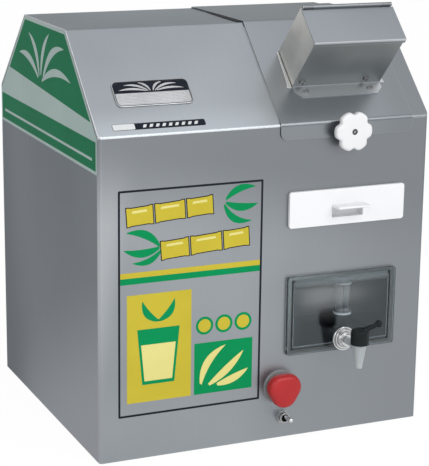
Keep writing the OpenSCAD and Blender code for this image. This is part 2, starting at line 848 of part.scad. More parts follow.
// Screw with a cross recess, head upwards
module cross_screw(r, h) {
  difference() {
    cylinder(r = r, h = h);
    translate([-r / 2, -screw_slot_w / 2, h - screw_slot_d])
      cube([r, screw_slot_w, screw_slot_d + overrun]);
    translate([-screw_slot_w / 2, -r / 2, h - screw_slot_d])
      cube([screw_slot_w, r, screw_slot_d + overrun]);
  }
}

module front_panel() {
  color("silver")
    difference() {
      intersection() {
        along_z(0, tangent_z)
          wall_ring();
        block([-half_w, -half_d, 0], [half_w, corner_r - half_d, tangent_z]);
      }
      block(
        [tub_x0 - drawer_clear, -half_d - overrun, tub_z0 - drawer_clear],
        [tub_x1 + drawer_clear, sheet_t - half_d + overrun, tub_z1 + drawer_clear]
      );
      block(
        [box_x0 - box_clear, -half_d - overrun, floor_z],
        [box_x1 + box_clear, sheet_t - half_d + overrun, box_z1 + box_clear]
      );
      along_y(-half_d - overrun, sheet_t - half_d + overrun) {
        translate([stop_x, stop_z])
          circle(stop_bush_r + bush_clear);
        translate([switch_x, switch_z])
          circle(switch_bush_r + bush_clear);
      }
    }
}

module back_panel() {
  color("silver")
    difference() {
      intersection() {
        along_z(0, tangent_z)
          wall_ring();
        block([-half_w, half_d - corner_r, 0], [half_w, half_d, tangent_z]);
      }
      block(
        [slide_x0 - outlet_margin, half_d - sheet_t - overrun, slide_z1 - outlet_margin],
        [slide_x1 + outlet_margin, half_d + overrun, slide_z1 + outlet_h]
      );
      block([service_x0, half_d - sheet_t - overrun, service_z0], [service_x1, half_d + overrun, service_z1]);
      along_y(half_d - sheet_t - overrun, half_d + overrun)
        translate([gland_x, gland_z])
          circle(gland_thread_r + bush_clear);
    }
}

module side_panel(x0) {
  color("silver")
    intersection() {
      along_x(x0, x0 + sheet_t)
        end_panel_outline();
      along_z(0, roof_z)
        footprint(0);
    }
}

module left_panel() {
  side_panel(-half_w);
}

module right_panel() {
  side_panel(half_w - sheet_t);
}

module fixed_roof(x0, x1) {
  color("silver")
    intersection() {
      roof_sheet(x0, x1, -sheet_t, 0);
      along_z(0, roof_z)
        footprint(0);
    }
}

module left_roof() {
  fixed_roof(-half_w, roof_cut_x0);
}

module right_roof() {
  fixed_roof(roof_cut_x1, half_w);
}

module base_plate() {
  color("silver") {
    along_z(0, sheet_t)
      footprint(sheet_t);
    for (s = [-1, 1])
      translate([0, s * base_rib_y, 0])
        difference() {
          block([sheet_t - half_w, -base_rib_w / 2, 0], [half_w - sheet_t, base_rib_w / 2, base_rib_h]);
          block(
            [sheet_t - half_w - overrun, sheet_t - base_rib_w / 2, 0],
            [half_w - sheet_t + overrun, base_rib_w / 2 - sheet_t, base_rib_h - sheet_t]
          );
        }
  }
}

module bulkhead() {
  color("silver")
    difference() {
      along_x(bulkhead_x, bay_x0)
        polygon(concat(
          [[half_d - sheet_t, floor_z - sheet_t], [sheet_t - half_d, floor_z - sheet_t]],
          roof_line(-sheet_t)
        ));
      shaft_holes(bulkhead_x, bay_x0, bush_r);
    }
}

// Three through holes on the roller axes
module shaft_holes(x0, x1, r) {
  along_x(x0 - overrun, x1 + overrun)
    for (at = [top_roller_at, front_roller_at, rear_roller_at])
      translate(at)
        circle(r);
}

module wet_floor() {
  color("silver")
    block([bay_x0, sheet_t - half_d, floor_z - sheet_t], [bay_x1, half_d - sheet_t, floor_z]);
}

module service_cover() {
  lo = [service_x0 - service_lap, service_z0 - service_lap];
  hi = [service_x1 + service_lap, service_z1 + service_lap];
  color("silver") {
    difference() {
      along_y(half_d, half_d + sheet_t)
        round_rect(lo, hi, corner_r);
      for (i = [0 : vent_count - 1])
        along_y(half_d - overrun, half_d + sheet_t + overrun)
          translate([(service_x0 + service_x1 - vent_w) / 2, service_z0 + vent_rise + i * vent_pitch])
            round_rect([0, 0], [vent_w, vent_h], vent_h / 2 - bush_clear);
    }
    for (x = [lo[0] + service_lap / 2, hi[0] - service_lap / 2],
      z = [lo[1] + service_lap / 2, hi[1] - service_lap / 2])
      translate([x, half_d + sheet_t, z])
        rotate([-90, 0, 0])
          cross_screw(service_screw_r, service_screw_h);
  }
}

module cable_gland() {
  color("black")
    translate([gland_x, half_d, gland_z])
      rotate([-90, 0, 0])
        difference() {
          union() {
            translate([0, 0, -gland_thread_l])
              cylinder(r = gland_thread_r, h = gland_thread_l + gland_flange_t);
            linear_extrude(gland_flange_t)
              hexagon(2 * gland_flange_r * cos(30));
            translate([0, 0, gland_flange_t])
              cylinder(r1 = gland_dome_r, r2 = gland_thread_r, h = gland_dome_l);
          }
          translate([0, 0, -gland_thread_l - overrun])
            cylinder(r = gland_bore_r, h = gland_thread_l + gland_flange_t + gland_dome_l + 2 * overrun);
        }
}

module badge() {
  color("dimgray")
    on_slope()
      linear_extrude(badge_t)
        round_rect([badge_x0, badge_rise], [badge_x1, badge_rise + badge_h], badge_corner_r);
}

module strip_label() {
  color("black")
    on_slope()
      linear_extrude(label_t)
        round_rect([strip_x0, strip_rise], [strip_x1, strip_rise + strip_h], strip_corner_r);
}

module side_label() {
  run = side_label_inset;
  color("seagreen")
    along_x(-half_w - label_t, -half_w)
      polygon([
        [corner_r - half_d, side_label_z0],
        [half_d - corner_r, side_label_z0],
        [half_d - corner_r, wall_h - run],
        [top_half - run / 2, roof_z - run],
        [run / 2 - top_half, roof_z - run],
        [corner_r - half_d, wall_h - run]
      ]);
}

module front_label() {
  color("khaki")
    block([label_x0, -half_d - label_t, label_z0], [label_x1, -half_d, label_z1]);
}

// Tube of one hinge knuckle on the cover's hinge axis
module knuckle(x0, x1, bore) {
  along_x(x0, x1)
    translate([hinge_y, hinge_z])
      difference() {
        circle(knuckle_r);
        if (bore > 0)
          circle(bore);
      }
}

module hinge_base() {
  color("gainsboro")
    for (x = hinge_starts) {
      block(
        [x, half_d, hinge_z - knuckle_r - knuckle_gap - leaf_h],
        [x + hinge_w, half_d + leaf_t, hinge_z - knuckle_r - knuckle_gap]
      );
      for (k = [x, x + hinge_w - knuckle_l]) {
        block([k, half_d, hinge_z - knuckle_r - leaf_t], [k + knuckle_l, half_d + leaf_t, hinge_z]);
        knuckle(k, k + knuckle_l, 0);
      }
      along_x(x, x + hinge_w)
        translate([hinge_y, hinge_z])
          circle(hinge_pin_r);
      for (k = [x + knuckle_l, x + hinge_w - knuckle_l])
        translate([k, half_d + leaf_t, hinge_z - knuckle_r - leaf_h / 2])
          rotate([-90, 0, 0])
            cylinder(r = hinge_screw_r, h = hinge_screw_h);
    }
}

module hinge_leaf() {
  y0 = half_d + cover_out;
  color("gainsboro")
    for (x = hinge_starts) {
      difference() {
        union() {
          block(
            [x, y0, hinge_z + knuckle_r + knuckle_gap],
            [x + hinge_w, y0 + leaf_t, tangent_z]
          );
          block(
            [x + knuckle_l + knuckle_gap, y0, hinge_z],
            [x + hinge_w - knuckle_l - knuckle_gap, y0 + leaf_t, tangent_z]
          );
          knuckle(x + knuckle_l + knuckle_gap, x + hinge_w - knuckle_l - knuckle_gap, 0);
        }
        along_x(x, x + hinge_w)
          translate([hinge_y, hinge_z])
            circle(hinge_pin_r + shaft_clear);
      }
    }
}

module knob_stud() {
  color("gainsboro")
    translate([stud_x, -half_d, stud_z])
      rotate([90, 0, 0])
        cylinder(r = stud_r, h = stud_l);
}

module stop_base() {
  color("gray")
    translate([stop_x, -half_d, stop_z])
      rotate([90, 0, 0])
        difference() {
          union() {
            cylinder(r = stop_ring_r, h = stop_ring_t);
            cylinder(r = stop_collar_r, h = stop_collar_l);
            translate([0, 0, -sheet_t - lock_ring_t])
              cylinder(r = stop_bush_r, h = sheet_t + lock_ring_t + stop_ring_t);
            translate([0, 0, -sheet_t - lock_ring_t])
              cylinder(r = lock_ring_r, h = lock_ring_t);
            translate([-block_w / 2, -block_h / 2, -sheet_t - lock_ring_t - block_l])
              cube([block_w, block_h, block_l]);
          }
          translate([0, 0, stop_collar_l + stop_travel_gap - stop_stem_l - 2 * stop_travel_gap])
            cylinder(r = stop_stem_r + stop_stem_clear, h = stop_stem_l + 2 * stop_travel_gap);
        }
}

module switch_base() {
  color("gainsboro")
    translate([switch_x, -half_d, switch_z])
      rotate([90, 0, 0])
        difference() {
          union() {
            linear_extrude(switch_nut_t)
              hexagon(switch_nut_w);
            translate([0, 0, -sheet_t - switch_bore_r])
              cylinder(r = switch_bush_r, h = sheet_t + switch_bore_r + switch_bush_l);
            translate([-switch_body_w / 2, -switch_body_h / 2, -sheet_t - switch_body_l])
              cube([switch_body_w, switch_body_h, switch_body_l]);
          }
          translate([0, 0, -switch_bore_r])
            cylinder(r = switch_bore_r, h = switch_bush_l + 2 * switch_bore_r);
          translate([0, 0, -switch_bore_r])
            sphere(r = switch_bore_r);
        }
}

// Cheek plate outline with its upper corners cut
module cheek_outline() {
  difference() {
    polygon([
      [cheek_y0, cheek_z0],
      [cheek_y1, cheek_z0],
      [cheek_y1, cheek_z1 - cheek_chamfer],
      [cheek_y1 - cheek_chamfer, cheek_z1],
      [cheek_y0 + cheek_chamfer, cheek_z1],
      [cheek_y0, cheek_z1 - cheek_chamfer]
    ]);
    for (at = [top_roller_at, front_roller_at, rear_roller_at])
      translate(at)
        circle(bush_r);
    for (at = tie_points)
      translate(at)
        circle(tie_r);
  }
}

module left_cheek() {
  color("slategray")
    along_x(bay_x0, left_cheek_x1)
      cheek_outline();
}

module right_cheek() {
  color("slategray")
    along_x(right_cheek_x0, right_cheek_x1)
      cheek_outline();
}

module tie_bars() {
  color("gainsboro")
    for (at = tie_points) {
      along_x(bay_x0, right_cheek_x1 + tie_nut_t)
        translate(at)
          circle(tie_r);
      along_x(right_cheek_x1, right_cheek_x1 + tie_nut_t)
        translate(at)
          circle(tie_nut_r, $fn = 6);
      along_x(left_cheek_x1, left_cheek_x1 + bush_flange_t)
        translate(at)
          circle(tie_nut_r);
      along_x(right_cheek_x0 - bush_flange_t, right_cheek_x0)
        translate(at)
          circle(tie_nut_r);
    }
}

module bushes() {
  color("darkgoldenrod")
    for (at = [top_roller_at, front_roller_at, rear_roller_at]) {
      bush(at, bulkhead_x, left_cheek_x1, left_cheek_x1, left_cheek_x1 + bush_flange_t);
      bush(at, right_cheek_x0, right_cheek_x1, right_cheek_x0 - bush_flange_t, right_cheek_x0);
    }
}

// Flanged bush: sleeve from x0 to x1, flange from f0 to f1
module bush(at, x0, x1, f0, f1) {
  difference() {
    union() {
      along_x(x0, x1)
        translate(at)
          circle(bush_r);
      along_x(f0, f1)
        translate(at)
          circle(bush_flange_r);
    }
    along_x(min(x0, f0) - overrun, max(x1, f1) + overrun)
      translate(at)
        circle(shaft_r + shaft_clear);
  }
}

module turn_plate() {
  color("gainsboro")
    along_x(left_cheek_x1, right_cheek_x0)
      translate([mill_y, lower_z])
        difference() {
          polygon([
            [-turn_top_w, turn_rise],
            [-turn_waist_w, 0],
            [-turn_waist_w, -turn_drop],
            [turn_waist_w, -turn_drop],
            [turn_waist_w, 0],
            [turn_top_w, turn_rise]
          ]);
          translate([0, turn_rise - turn_hollow + pitch_r])
            circle(pitch_r);
        }
}

module bagasse_slide() {
  color("silver")
    translate([0, slide_y0, slide_z0])
      rotate([-slide_angle, 0, 0])
        difference() {
          block([slide_x0, 0, -slide_t], [slide_x1, slide_l, slide_wall_h]);
          block(
            [slide_x0 + slide_t, -overrun, 0],
            [slide_x1 - slide_t, slide_l + overrun, slide_wall_h + overrun]
          );
        }
}

module juice_pan() {
  rim_z = shelf_z - shelf_t;
  nozzle_y = pan_y0 + nozzle_setback;
  nozzle_z = box_z1 + nozzle_gap;
  color("silver")
    difference() {
      union() {
        along_x(pan_x0, pan_x1)
          polygon([
            [pan_y0, pan_low_z - pan_t],
            [pan_y1, pan_high_z - pan_t],
            [pan_y1, rim_z],
            [pan_y0, rim_z]
          ]);
        translate([tube_x, nozzle_y, nozzle_z])
          cylinder(r = nozzle_r, h = pan_high_z - nozzle_z);
      }
      along_x(pan_x0 + pan_t, pan_x1 - pan_t)
        polygon([
          [pan_y0 + pan_t, pan_low_z],
          [pan_y1 - pan_t, pan_high_z],
          [pan_y1 - pan_t, rim_z + overrun],
          [pan_y0 + pan_t, rim_z + overrun]
        ]);
      translate([tube_x, nozzle_y, nozzle_z - overrun])
        cylinder(r = nozzle_r - pan_t, h = pan_high_z - nozzle_z);
    }
}

module drawer_shelf() {
  color("silver") {
    difference() {
      block([bay_x0, sheet_t - half_d, shelf_z - shelf_t], [bay_x1, pan_y1, shelf_z]);
      block(
        [pan_x0 + pan_t, pan_y0 + pan_t, shelf_z - shelf_t - overrun],
        [pan_x1 - pan_t, pan_y1 - pan_t, shelf_z + overrun]
      );
    }
    for (x = [tub_x0 - drawer_clear - shelf_t, tub_x1 + drawer_clear])
      block([x, sheet_t - half_d, shelf_z], [x + shelf_t, pan_y1, shelf_z + guide_h]);
  }
}

module gear_plate() {
  color("slategray") {
    along_x(gear_plate_x, gear_plate_x + gear_plate_t)
      difference() {
        polygon([
          [cheek_y0, cheek_z0],
          [cheek_y1, cheek_z0],
          [cheek_y1, cheek_z1 - gear_plate_chamfer],
          [cheek_y1 - gear_plate_chamfer, cheek_z1],
          [cheek_y0 + gear_plate_chamfer, cheek_z1],
          [cheek_y0, cheek_z1 - gear_plate_chamfer]
        ]);
        translate(top_roller_at)
          circle(shaft_r + gear_gap / 2);
      }
    for (at = tie_points)
      along_x(gear_plate_x + gear_plate_t, bulkhead_x)
        translate(at)
          circle(spacer_r);
  }
}

module gearbox() {
  color("lightslategray")
    difference() {
      union() {
        along_x(gearbox_x0 + gearbox_cover_t, gearbox_x1 - gearbox_cover_t)
          translate(top_roller_at)
            circle(wheel_case_r);
        along_x(gearbox_x0, gearbox_x1)
          translate(top_roller_at)
            circle(gearbox_cover_r);
        along_x(gearbox_x1 - gearbox_cover_t, gear_plate_x)
          translate(top_roller_at)
            circle(gearbox_nose_r);
        translate([worm_at[0], worm_at[1], motor_z1])
          cylinder(r = worm_case_r, h = worm_top_z - motor_z1);
      }
      along_x(gearbox_x0 - overrun, gear_plate_x + overrun)
        translate(top_roller_at)
          circle(shaft_r + shaft_clear);
    }
}

module motor() {
  color("lightslategray")
    translate([worm_at[0], worm_at[1], 0]) {
      translate([0, 0, motor_z0])
        cylinder(r = motor_r, h = motor_z1 - motor_z0);
      translate([0, 0, motor_z1 - motor_flange_t])
        cylinder(r = motor_r + fin_h, h = motor_flange_t);
      difference() {
        along_z(motor_z0 + motor_flange_t, motor_z1 - 2 * motor_flange_t)
          for (k = [0 : fin_count / 2 - 1])
            rotate(360 * k / fin_count)
              square([2 * (motor_r + fin_h), fin_t], center = true);
        block(
          [-motor_r - fin_h - overrun, motor_r - fin_h / 2, terminal_z],
          [motor_r + fin_h + overrun, motor_r + fin_h + overrun, terminal_z + terminal_h]
        );
      }
    }
}

module motor_cowl() {
  color("dimgray")
    translate([worm_at[0], worm_at[1], motor_z0 - cowl_h])
      difference() {
        cylinder(r = motor_r + cowl_t, h = cowl_h + motor_flange_t);
        translate([0, 0, cowl_t])
          cylinder(r = motor_r, h = cowl_h + motor_flange_t);
        for (k = [0 : cowl_slots - 1])
          rotate(360 * k / cowl_slots)
            translate([cowl_slot_r0, -cowl_slot_w / 2, -overrun])
              cube([cowl_slot_r1 - cowl_slot_r0, cowl_slot_w, cowl_t + 2 * overrun]);
      }
}

module terminal_box() {
  y0 = worm_at[1] + motor_r - fin_h / 2;
  color("dimgray")
    difference() {
      along_y(y0, y0 + terminal_d)
        translate([worm_at[0] - terminal_w / 2, terminal_z])
          round_rect([0, 0], [terminal_w, terminal_h], bend_r);
      translate([worm_at[0], worm_at[1], terminal_z - overrun])
        cylinder(r = motor_r, h = terminal_h + 2 * overrun);
    }
}

module cover() {
  lip_z = wall_h - lip_drop;
  rear_z = wall_h - rear_lip_drop;
  front_y = -half_d - cover_out;
  color("silver")
    difference() {
      along_x(cover_x0, cover_x1)
        polygon(concat(
          [[front_y, lip_z]],
          roof_line(cover_out),
          [[half_d + cover_out, rear_z], [half_d + cover_gap, rear_z]],
          reversed(roof_line(cover_gap)),
          [[front_y + cover_t, lip_z]]
        ));
      along_y(front_y - overrun, front_y + cover_t + overrun) {
        lip_corner(cover_x0, lip_z, 1);
        lip_corner(cover_x1, lip_z, -1);
        translate([stud_x - stud_r - cover_gap, lip_z - overrun])
          square([2 * (stud_r + cover_gap), stud_z - lip_z + overrun]);
        translate([stud_x, stud_z])
          circle(stud_r + cover_gap);
      }
      on_slope()
        block(
          [chute_x0 - chute_clear, chute_y0 - chute_clear, -overrun],
          [chute_x1 + chute_clear, chute_y1 + chute_clear, overrun]
        );
    }
}

// Waste outside the rounded lower corner of the front lip
module lip_corner(x, z, side) {
  difference() {
    translate([x - (side < 0 ? lip_corner_r : overrun), z - overrun])
      square([lip_corner_r + overrun, lip_corner_r + overrun]);
    translate([x + side * lip_corner_r, z + lip_corner_r])
      circle(lip_corner_r);
  }
}

module feed_chute() {
  roll_n = chute_h + lid_gap + roll_r;
  roll_y = chute_y1 - roll_r;
  color("silver")
    on_slope() {
      difference() {
        block([chute_x0, chute_y0, -chute_depth], [chute_x1, chute_y1, chute_h]);
        block(
          [chute_x0 + chute_t, chute_y0 + chute_t, -chute_depth - overrun],
          [chute_x1 - chute_t, chute_y1 - chute_t, chute_h + overrun]
        );
      }
      for (x = [chute_x0, chute_x1 - roll_l])
        difference() {
          union() {
            along_x(x, x + roll_l)
              translate([roll_y, roll_n])
                circle(roll_r);
            block([x, chute_y1 - chute_t, chute_h - chute_t], [x + roll_l, chute_y1, roll_n]);
          }
          along_x(x - overrun, x + roll_l + overrun)
            translate([roll_y, roll_n])
              circle(lid_pin_r);
        }
    }
}

module chute_flange() {
  flange_y0 = chute_y0 - flange_l;
  color("silver")
    on_slope() {
      translate([0, 0, cover_out])
        linear_extrude(chute_t)
          polygon([
            [chute_x0, chute_y0],
            [chute_x0, flange_y0 + flange_chamfer],
            [chute_x0 + flange_chamfer, flange_y0],
            [chute_x1 - flange_chamfer, flange_y0],
            [chute_x1, flange_y0 + flange_chamfer],
            [chute_x1, chute_y0]
          ]);
      block(
        [chute_x0, chute_y0 - chute_t, cover_out],
        [chute_x1, chute_y0, chute_h + lid_gap - lid_fold - flange_leg_gap]
      );
    }
}

module chute_screws() {
  color("gainsboro")
    on_slope()
      for (x = [chute_x0 + flange_screw_inset, chute_x1 - flange_screw_inset]) {
        translate([x, chute_y0 - flange_screw_drop, cover_out + chute_t])
          cross_screw(screw_head_r, screw_head_h);
        translate([x - leg_screw_shift, chute_y0 - chute_t, leg_screw_h])
          rotate([90, 0, 0])
            cross_screw(screw_head_r, screw_head_h);
      }
}

module lid_pin() {
  color("gainsboro")
    on_slope()
      along_x(chute_x0, chute_x1)
        translate([chute_y1 - roll_r, chute_h + lid_gap + roll_r])
          circle(lid_pin_r);
}

module chute_lid() {
  x0 = chute_x0 - lid_over_left;
  x1 = chute_x1 + lid_over_right;
  y0 = chute_y0 - lid_over_front;
  y1 = chute_y1 - 2 * roll_r - lid_gap;
  n0 = chute_h + lid_gap;
  roll_y = chute_y1 - roll_r;
  roll_n = n0 + roll_r;
  tongue_x0 = chute_x0 + roll_l + lid_gap;
  tongue_x1 = chute_x1 - roll_l - lid_gap;
  color("silver")
    on_slope() {
      block([x0, y0, n0], [x1, y1, n0 + chute_t]);
      block([x0, y0, n0 - lid_fold], [x1, y0 + chute_t, n0 + chute_t]);
      block([x1 - chute_t, y0, n0 - lid_fold], [x1, y1, n0 + chute_t]);
      difference() {
        union() {
          block([tongue_x0, y1 - chute_t, n0], [tongue_x1, roll_y, n0 + chute_t]);
          along_x(tongue_x0, tongue_x1)
            translate([roll_y, roll_n])
              circle(roll_r);
        }
        along_x(tongue_x0 - overrun, tongue_x1 + overrun)
          translate([roll_y, roll_n])
            circle(lid_pin_r + shaft_clear);
      }
    }
}

module knob_washer() {
  color("gainsboro")
    translate([stud_x, washer_y, stud_z])
      rotate([90, 0, 0])
        difference() {
          cylinder(r = washer_r, h = washer_t);
          translate([0, 0, -overrun])
            cylinder(r = stud_r + washer_clear, h = washer_t + 2 * overrun);
        }
}

module clamp_knob() {
  color("white")
    translate([stud_x, knob_y, stud_z])
      rotate([90, 0, 0])
        difference() {
          union() {
            cylinder(r = knob_hub_r, h = knob_hub_l + knob_chamfer);
            difference() {
              translate([0, 0, knob_hub_l])
                rotate_extrude()
                  polygon([
                    [0, 0],
                    [knob_r - knob_chamfer, 0],
                    [knob_r, knob_chamfer],
                    [knob_r, knob_t - knob_chamfer],
                    [knob_r - knob_chamfer, knob_t],
                    [0, knob_t]
                  ]);
              for (k = [0 : 5])
                rotate(30 + 60 * k)
                  translate([knob_r - knob_notch_d + knob_notch_r, 0, knob_hub_l - overrun])
                    cylinder(r = knob_notch_r, h = knob_t + 2 * overrun);
            }
          }
          translate([0, 0, -overrun])
            cylinder(r = stud_r + shaft_clear, h = knob_hub_l + knob_t + 2 * overrun);
          translate([0, 0, knob_hub_l + knob_t - knob_dish_d])
            cylinder(r1 = stud_r + shaft_clear, r2 = knob_dish_r, h = knob_dish_d);
        }
}

module drawer() {
  front_y = drawer_front_y - drawer_front_t;
  ledge = drawer_wall + strainer_ledge;
  pocket_x0 = grip_mid_x - grip_w / 2;
  pocket_x1 = grip_mid_x + grip_w / 2;
  color("white")
    difference() {
      union() {
        along_y(front_y, drawer_front_y)
          round_rect([drawer_x0, drawer_z0], [drawer_x1, drawer_z1], drawer_corner_r);
        difference() {
          block([tub_x0, drawer_front_y - drawer_front_t / 2, tub_z0], [tub_x1, tub_y1, tub_z1]);
          block(
            [tub_x0 + drawer_wall, drawer_front_y + drawer_wall, tub_z0 + drawer_wall],
            [tub_x1 - drawer_wall, tub_y1 - drawer_wall, tub_z1 + overrun]
          );
          block(
            [tub_x0 + ledge, drawer_front_y + pocket_d + ledge, tub_z0 - overrun],
            [tub_x1 - ledge, tub_y1 - ledge, tub_z1]
          );
        }
        block(
          [pocket_x0 - drawer_wall, drawer_front_y - drawer_front_t / 2, grip_z - pocket_h - drawer_wall],
          [pocket_x1 + drawer_wall, front_y + pocket_d + drawer_wall, grip_z + grip_t]
        );
        along_x(pocket_x0, pocket_x1) {
          translate([front_y - grip_l, grip_z])
            square([grip_l + drawer_front_t / 2, grip_t]);
          translate([front_y - grip_l, grip_z + grip_t / 2])
            circle(grip_t / 2);
        }
      }
      block([pocket_x0, front_y - overrun, grip_z - pocket_h], [pocket_x1, front_y + pocket_d, grip_z]);
    }
}

module strainer() {
  y0 = drawer_front_y + pocket_d + drawer_wall;
  y1 = tub_y1 - drawer_wall;
  x0 = tub_x0 + drawer_wall;
  x1 = tub_x1 - drawer_wall;
  z0 = tub_z0 + drawer_wall;
  cell_w = (x1 - x0 + slot_web - 2 * slot_margin) / slot_columns;
  cell_l = (y1 - y0 - 2 * slot_margin) / slot_rows;
  color("gainsboro")
    difference() {
      block([x0, y0, z0], [x1, y1, z0 + strainer_t]);
      for (i = [0 : slot_columns - 1], j = [0 : slot_rows - 1])
        translate([x0 + slot_margin + i * cell_w, y0 + slot_margin + j * cell_l, z0 - overrun])
          cube([cell_w - slot_web, slot_w, strainer_t + 2 * overrun]);
    }
}

module reservoir() {
  color("lightblue", 0.4)
    difference() {
      union() {
        along_y(plate_y, plate_back_y)
          round_rect([plate_x0, plate_z0], [plate_x1, plate_z1], drawer_corner_r);
        block([box_x0, plate_back_y - plate_t / 2, box_z0], [box_x1, box_y1, box_z1]);
      }
      block(
        [box_x0 + box_wall, plate_back_y, box_z0 + box_wall],
        [box_x1 - box_wall, box_y1 - box_wall, box_z1 + overrun]
      );
      along_y(plate_y - overrun, plate_back_y + overrun)
        translate([tap_x, tap_z])
          circle(tap_shank_r);
    }
}

module drip_tray() {
  x0 = box_x0 + box_wall;
  x1 = box_x1 - box_wall;
  y1 = box_y1 - box_wall;
  z0 = box_z1 - tray_h;
  color("lightblue", 0.4)
    difference() {
      union() {
        difference() {
          block([x0, plate_back_y, z0], [x1, y1, box_z1]);
          block(
            [x0 + tray_t, plate_back_y + tray_t, z0 + tray_t],
            [x1 - tray_t, y1 - tray_t, box_z1 + overrun]
          );
        }
        translate([tube_x, tube_y, z0 - tube_l])
          cylinder(r = tube_r, h = tube_l + tray_t);
      }
      translate([tube_x, tube_y, z0 - tube_l - overrun])
        cylinder(r = tube_r - tube_wall, h = tube_l + tray_h);
    }
}

module tap_flange() {
  color("gainsboro")
    translate([tap_x, plate_y, tap_z])
      rotate([90, 0, 0])
        difference() {
          union() {
            cylinder(r = tap_flange_r, h = tap_flange_t);
            cylinder(r = tap_ring_r, h = tap_flange_t + tap_ring_t);
            linear_extrude(tap_flange_t + tap_ring_t + tap_nut_t)
              hexagon(tap_nut_w);
            translate([0, 0, -plate_t - tap_nut_t])
              linear_extrude(tap_nut_t)
                hexagon(tap_nut_w);
          }
          translate([0, 0, -plate_t - tap_nut_t - overrun])
            cylinder(r = tap_shank_r, h = tap_reach + plate_t);
        }
}

module tap_body() {
  top_z = tap_z + spout_top_rise;
  tip_z = tap_z - spout_drop;
  color("whitesmoke")
    difference() {
      union() {
        translate([tap_x, spout_y, tap_z])
          rotate([-90, 0, 0])
            cylinder(r = tap_shank_r, h = tap_reach + plate_t + tap_nut_t + plate_gap);
        translate([tap_x, spout_y, tip_z])
          cylinder(r1 = spout_tip_r, r2 = spout_top_r, h = top_z - tip_z);
      }
      translate([tap_x, spout_y, tip_z - overrun])
        cylinder(r = spout_tip_r - spout_wall, h = top_z - tip_z);
      translate([tap_x, spout_y, top_z - plug_bore_d])
        cylinder(r = plug_bore_r, h = plug_bore_d + overrun);
      translate([tap_x, spout_y, tap_z])
        rotate([-90, 0, 0])
          cylinder(r = tap_shank_r - spout_wall, h = 2 * tap_reach);
    }
}

module tap_lever() {
  plug_l = plug_bore_d - plug_clear + cap_gap;
  neck_z = cap_z + cap_h - cap_round_r;
  color("black")
    translate([tap_x, spout_y, 0]) {
      translate([0, 0, cap_z])
        rotate_extrude() {
          square([cap_r, cap_h - cap_round_r]);
          square([cap_r - cap_round_r, cap_h]);
          translate([cap_r - cap_round_r, cap_h - cap_round_r])
            intersection() {
              circle(cap_round_r);
              square(cap_round_r);
            }
        }
      translate([0, 0, cap_z - plug_l])
        cylinder(r = plug_bore_r - plug_clear, h = plug_l + cap_round_r);
      translate([0, 0, neck_z])
        rotate([0, 90 - lever_angle, 0]) {
          cylinder(r1 = lever_r0, r2 = lever_r1, h = lever_l);
          translate([0, 0, lever_l])
            sphere(r = lever_ball_r);
        }
    }
}

module stop_plunger() {
  color("gray")
    translate([stop_x, stop_head_y, stop_z])
      rotate([-90, 0, 0])
        cylinder(r = stop_stem_r, h = stop_stem_l);
}

// Rounded three-sided outline of the stop button's head
module stop_outline(shrink) {
  intersection() {
    circle(stop_head_r - shrink);
    for_sides(shrink);
  }
}

module for_sides(shrink) {
  intersection() {
    rotate(270)
      translate([stop_side_shift, 0])
        circle(stop_side_r - shrink);
    rotate(30)
      translate([stop_side_shift, 0])
        circle(stop_side_r - shrink);
    rotate(150)
      translate([stop_side_shift, 0])
        circle(stop_side_r - shrink);
  }
}

module stop_head() {
  color("firebrick")
    translate([stop_x, stop_head_y, stop_z])
      rotate([90, 0, 0]) {
        linear_extrude(stop_head_t - stop_head_step)
          stop_outline(0);
        translate([0, 0, stop_head_t - stop_head_step])
          linear_extrude(stop_head_step)
            stop_outline(stop_head_step);
      }
}

module switch_lever() {
  l = switch_lever_l + switch_bore_r;
  color("gainsboro")
    translate([switch_x, switch_bore_r - half_d, switch_z])
      rotate([90 - switch_tilt, 0, 0]) {
        sphere(r = switch_bore_r - knuckle_gap);
        cylinder(r1 = switch_lever_r0, r2 = switch_lever_r1, h = l - switch_lever_r1);
        translate([0, 0, l - switch_lever_r1])
          sphere(r = switch_lever_r1);
      }
}

// Fluted roller with its shaft
module roller(at, shaft_x0, phase) {
  color("lightgray") {
    along_x(roller_x0, roller_x1)
      translate(at)
        rotate(phase)
          polygon(flute_points());
    along_x(shaft_x0, shaft_x1)
      translate(at)
        circle(shaft_r);
  }
}

module mill_gear(at, phase) {
  color("dimgray")
    along_x(gear_x0, gear_x1)
      translate(at)
        difference() {
          polygon(gear_points(phase));
          circle(shaft_r);
        }
}

module top_roller() {
  roller(top_roller_at, gearbox_x0, 0);
}

module front_roller() {
  roller(front_roller_at, gear_x0, 0);
}

module rear_roller() {
  roller(rear_roller_at, gear_x0, 0);
}

module top_gear() {
  mill_gear(top_roller_at, 270 - mill_half_angle);
}

module front_gear() {
  mill_gear(front_roller_at, 90 - mill_half_angle + 180 / gear_teeth);
}

module rear_gear() {
  mill_gear(rear_roller_at, 90 + mill_half_angle + 180 / gear_teeth);
}

front_panel();
back_panel();
left_panel();
right_panel();
left_roof();
right_roof();
base_plate();
bulkhead();
wet_floor();
service_cover();
cable_gland();
badge();
strip_label();
side_label();
front_label();
hinge_base();
knob_stud();
stop_base();
switch_base();
left_cheek();
right_cheek();
tie_bars();
bushes();
turn_plate();
bagasse_slide();
juice_pan();
drawer_shelf();
gear_plate();
gearbox();
motor();
motor_cowl();
terminal_box();
cover();
hinge_leaf();
feed_chute();
chute_flange();
chute_screws();
lid_pin();
chute_lid();
knob_washer();
clamp_knob();
drawer();
strainer();
reservoir();
drip_tray();
tap_flange();
tap_body();
tap_lever();
stop_plunger();
stop_head();
switch_lever();
top_roller();
top_gear();
front_roller();
front_gear();
rear_roller();
rear_gear();
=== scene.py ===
import bmesh
import bpy
import math
from mathutils import Matrix, Vector


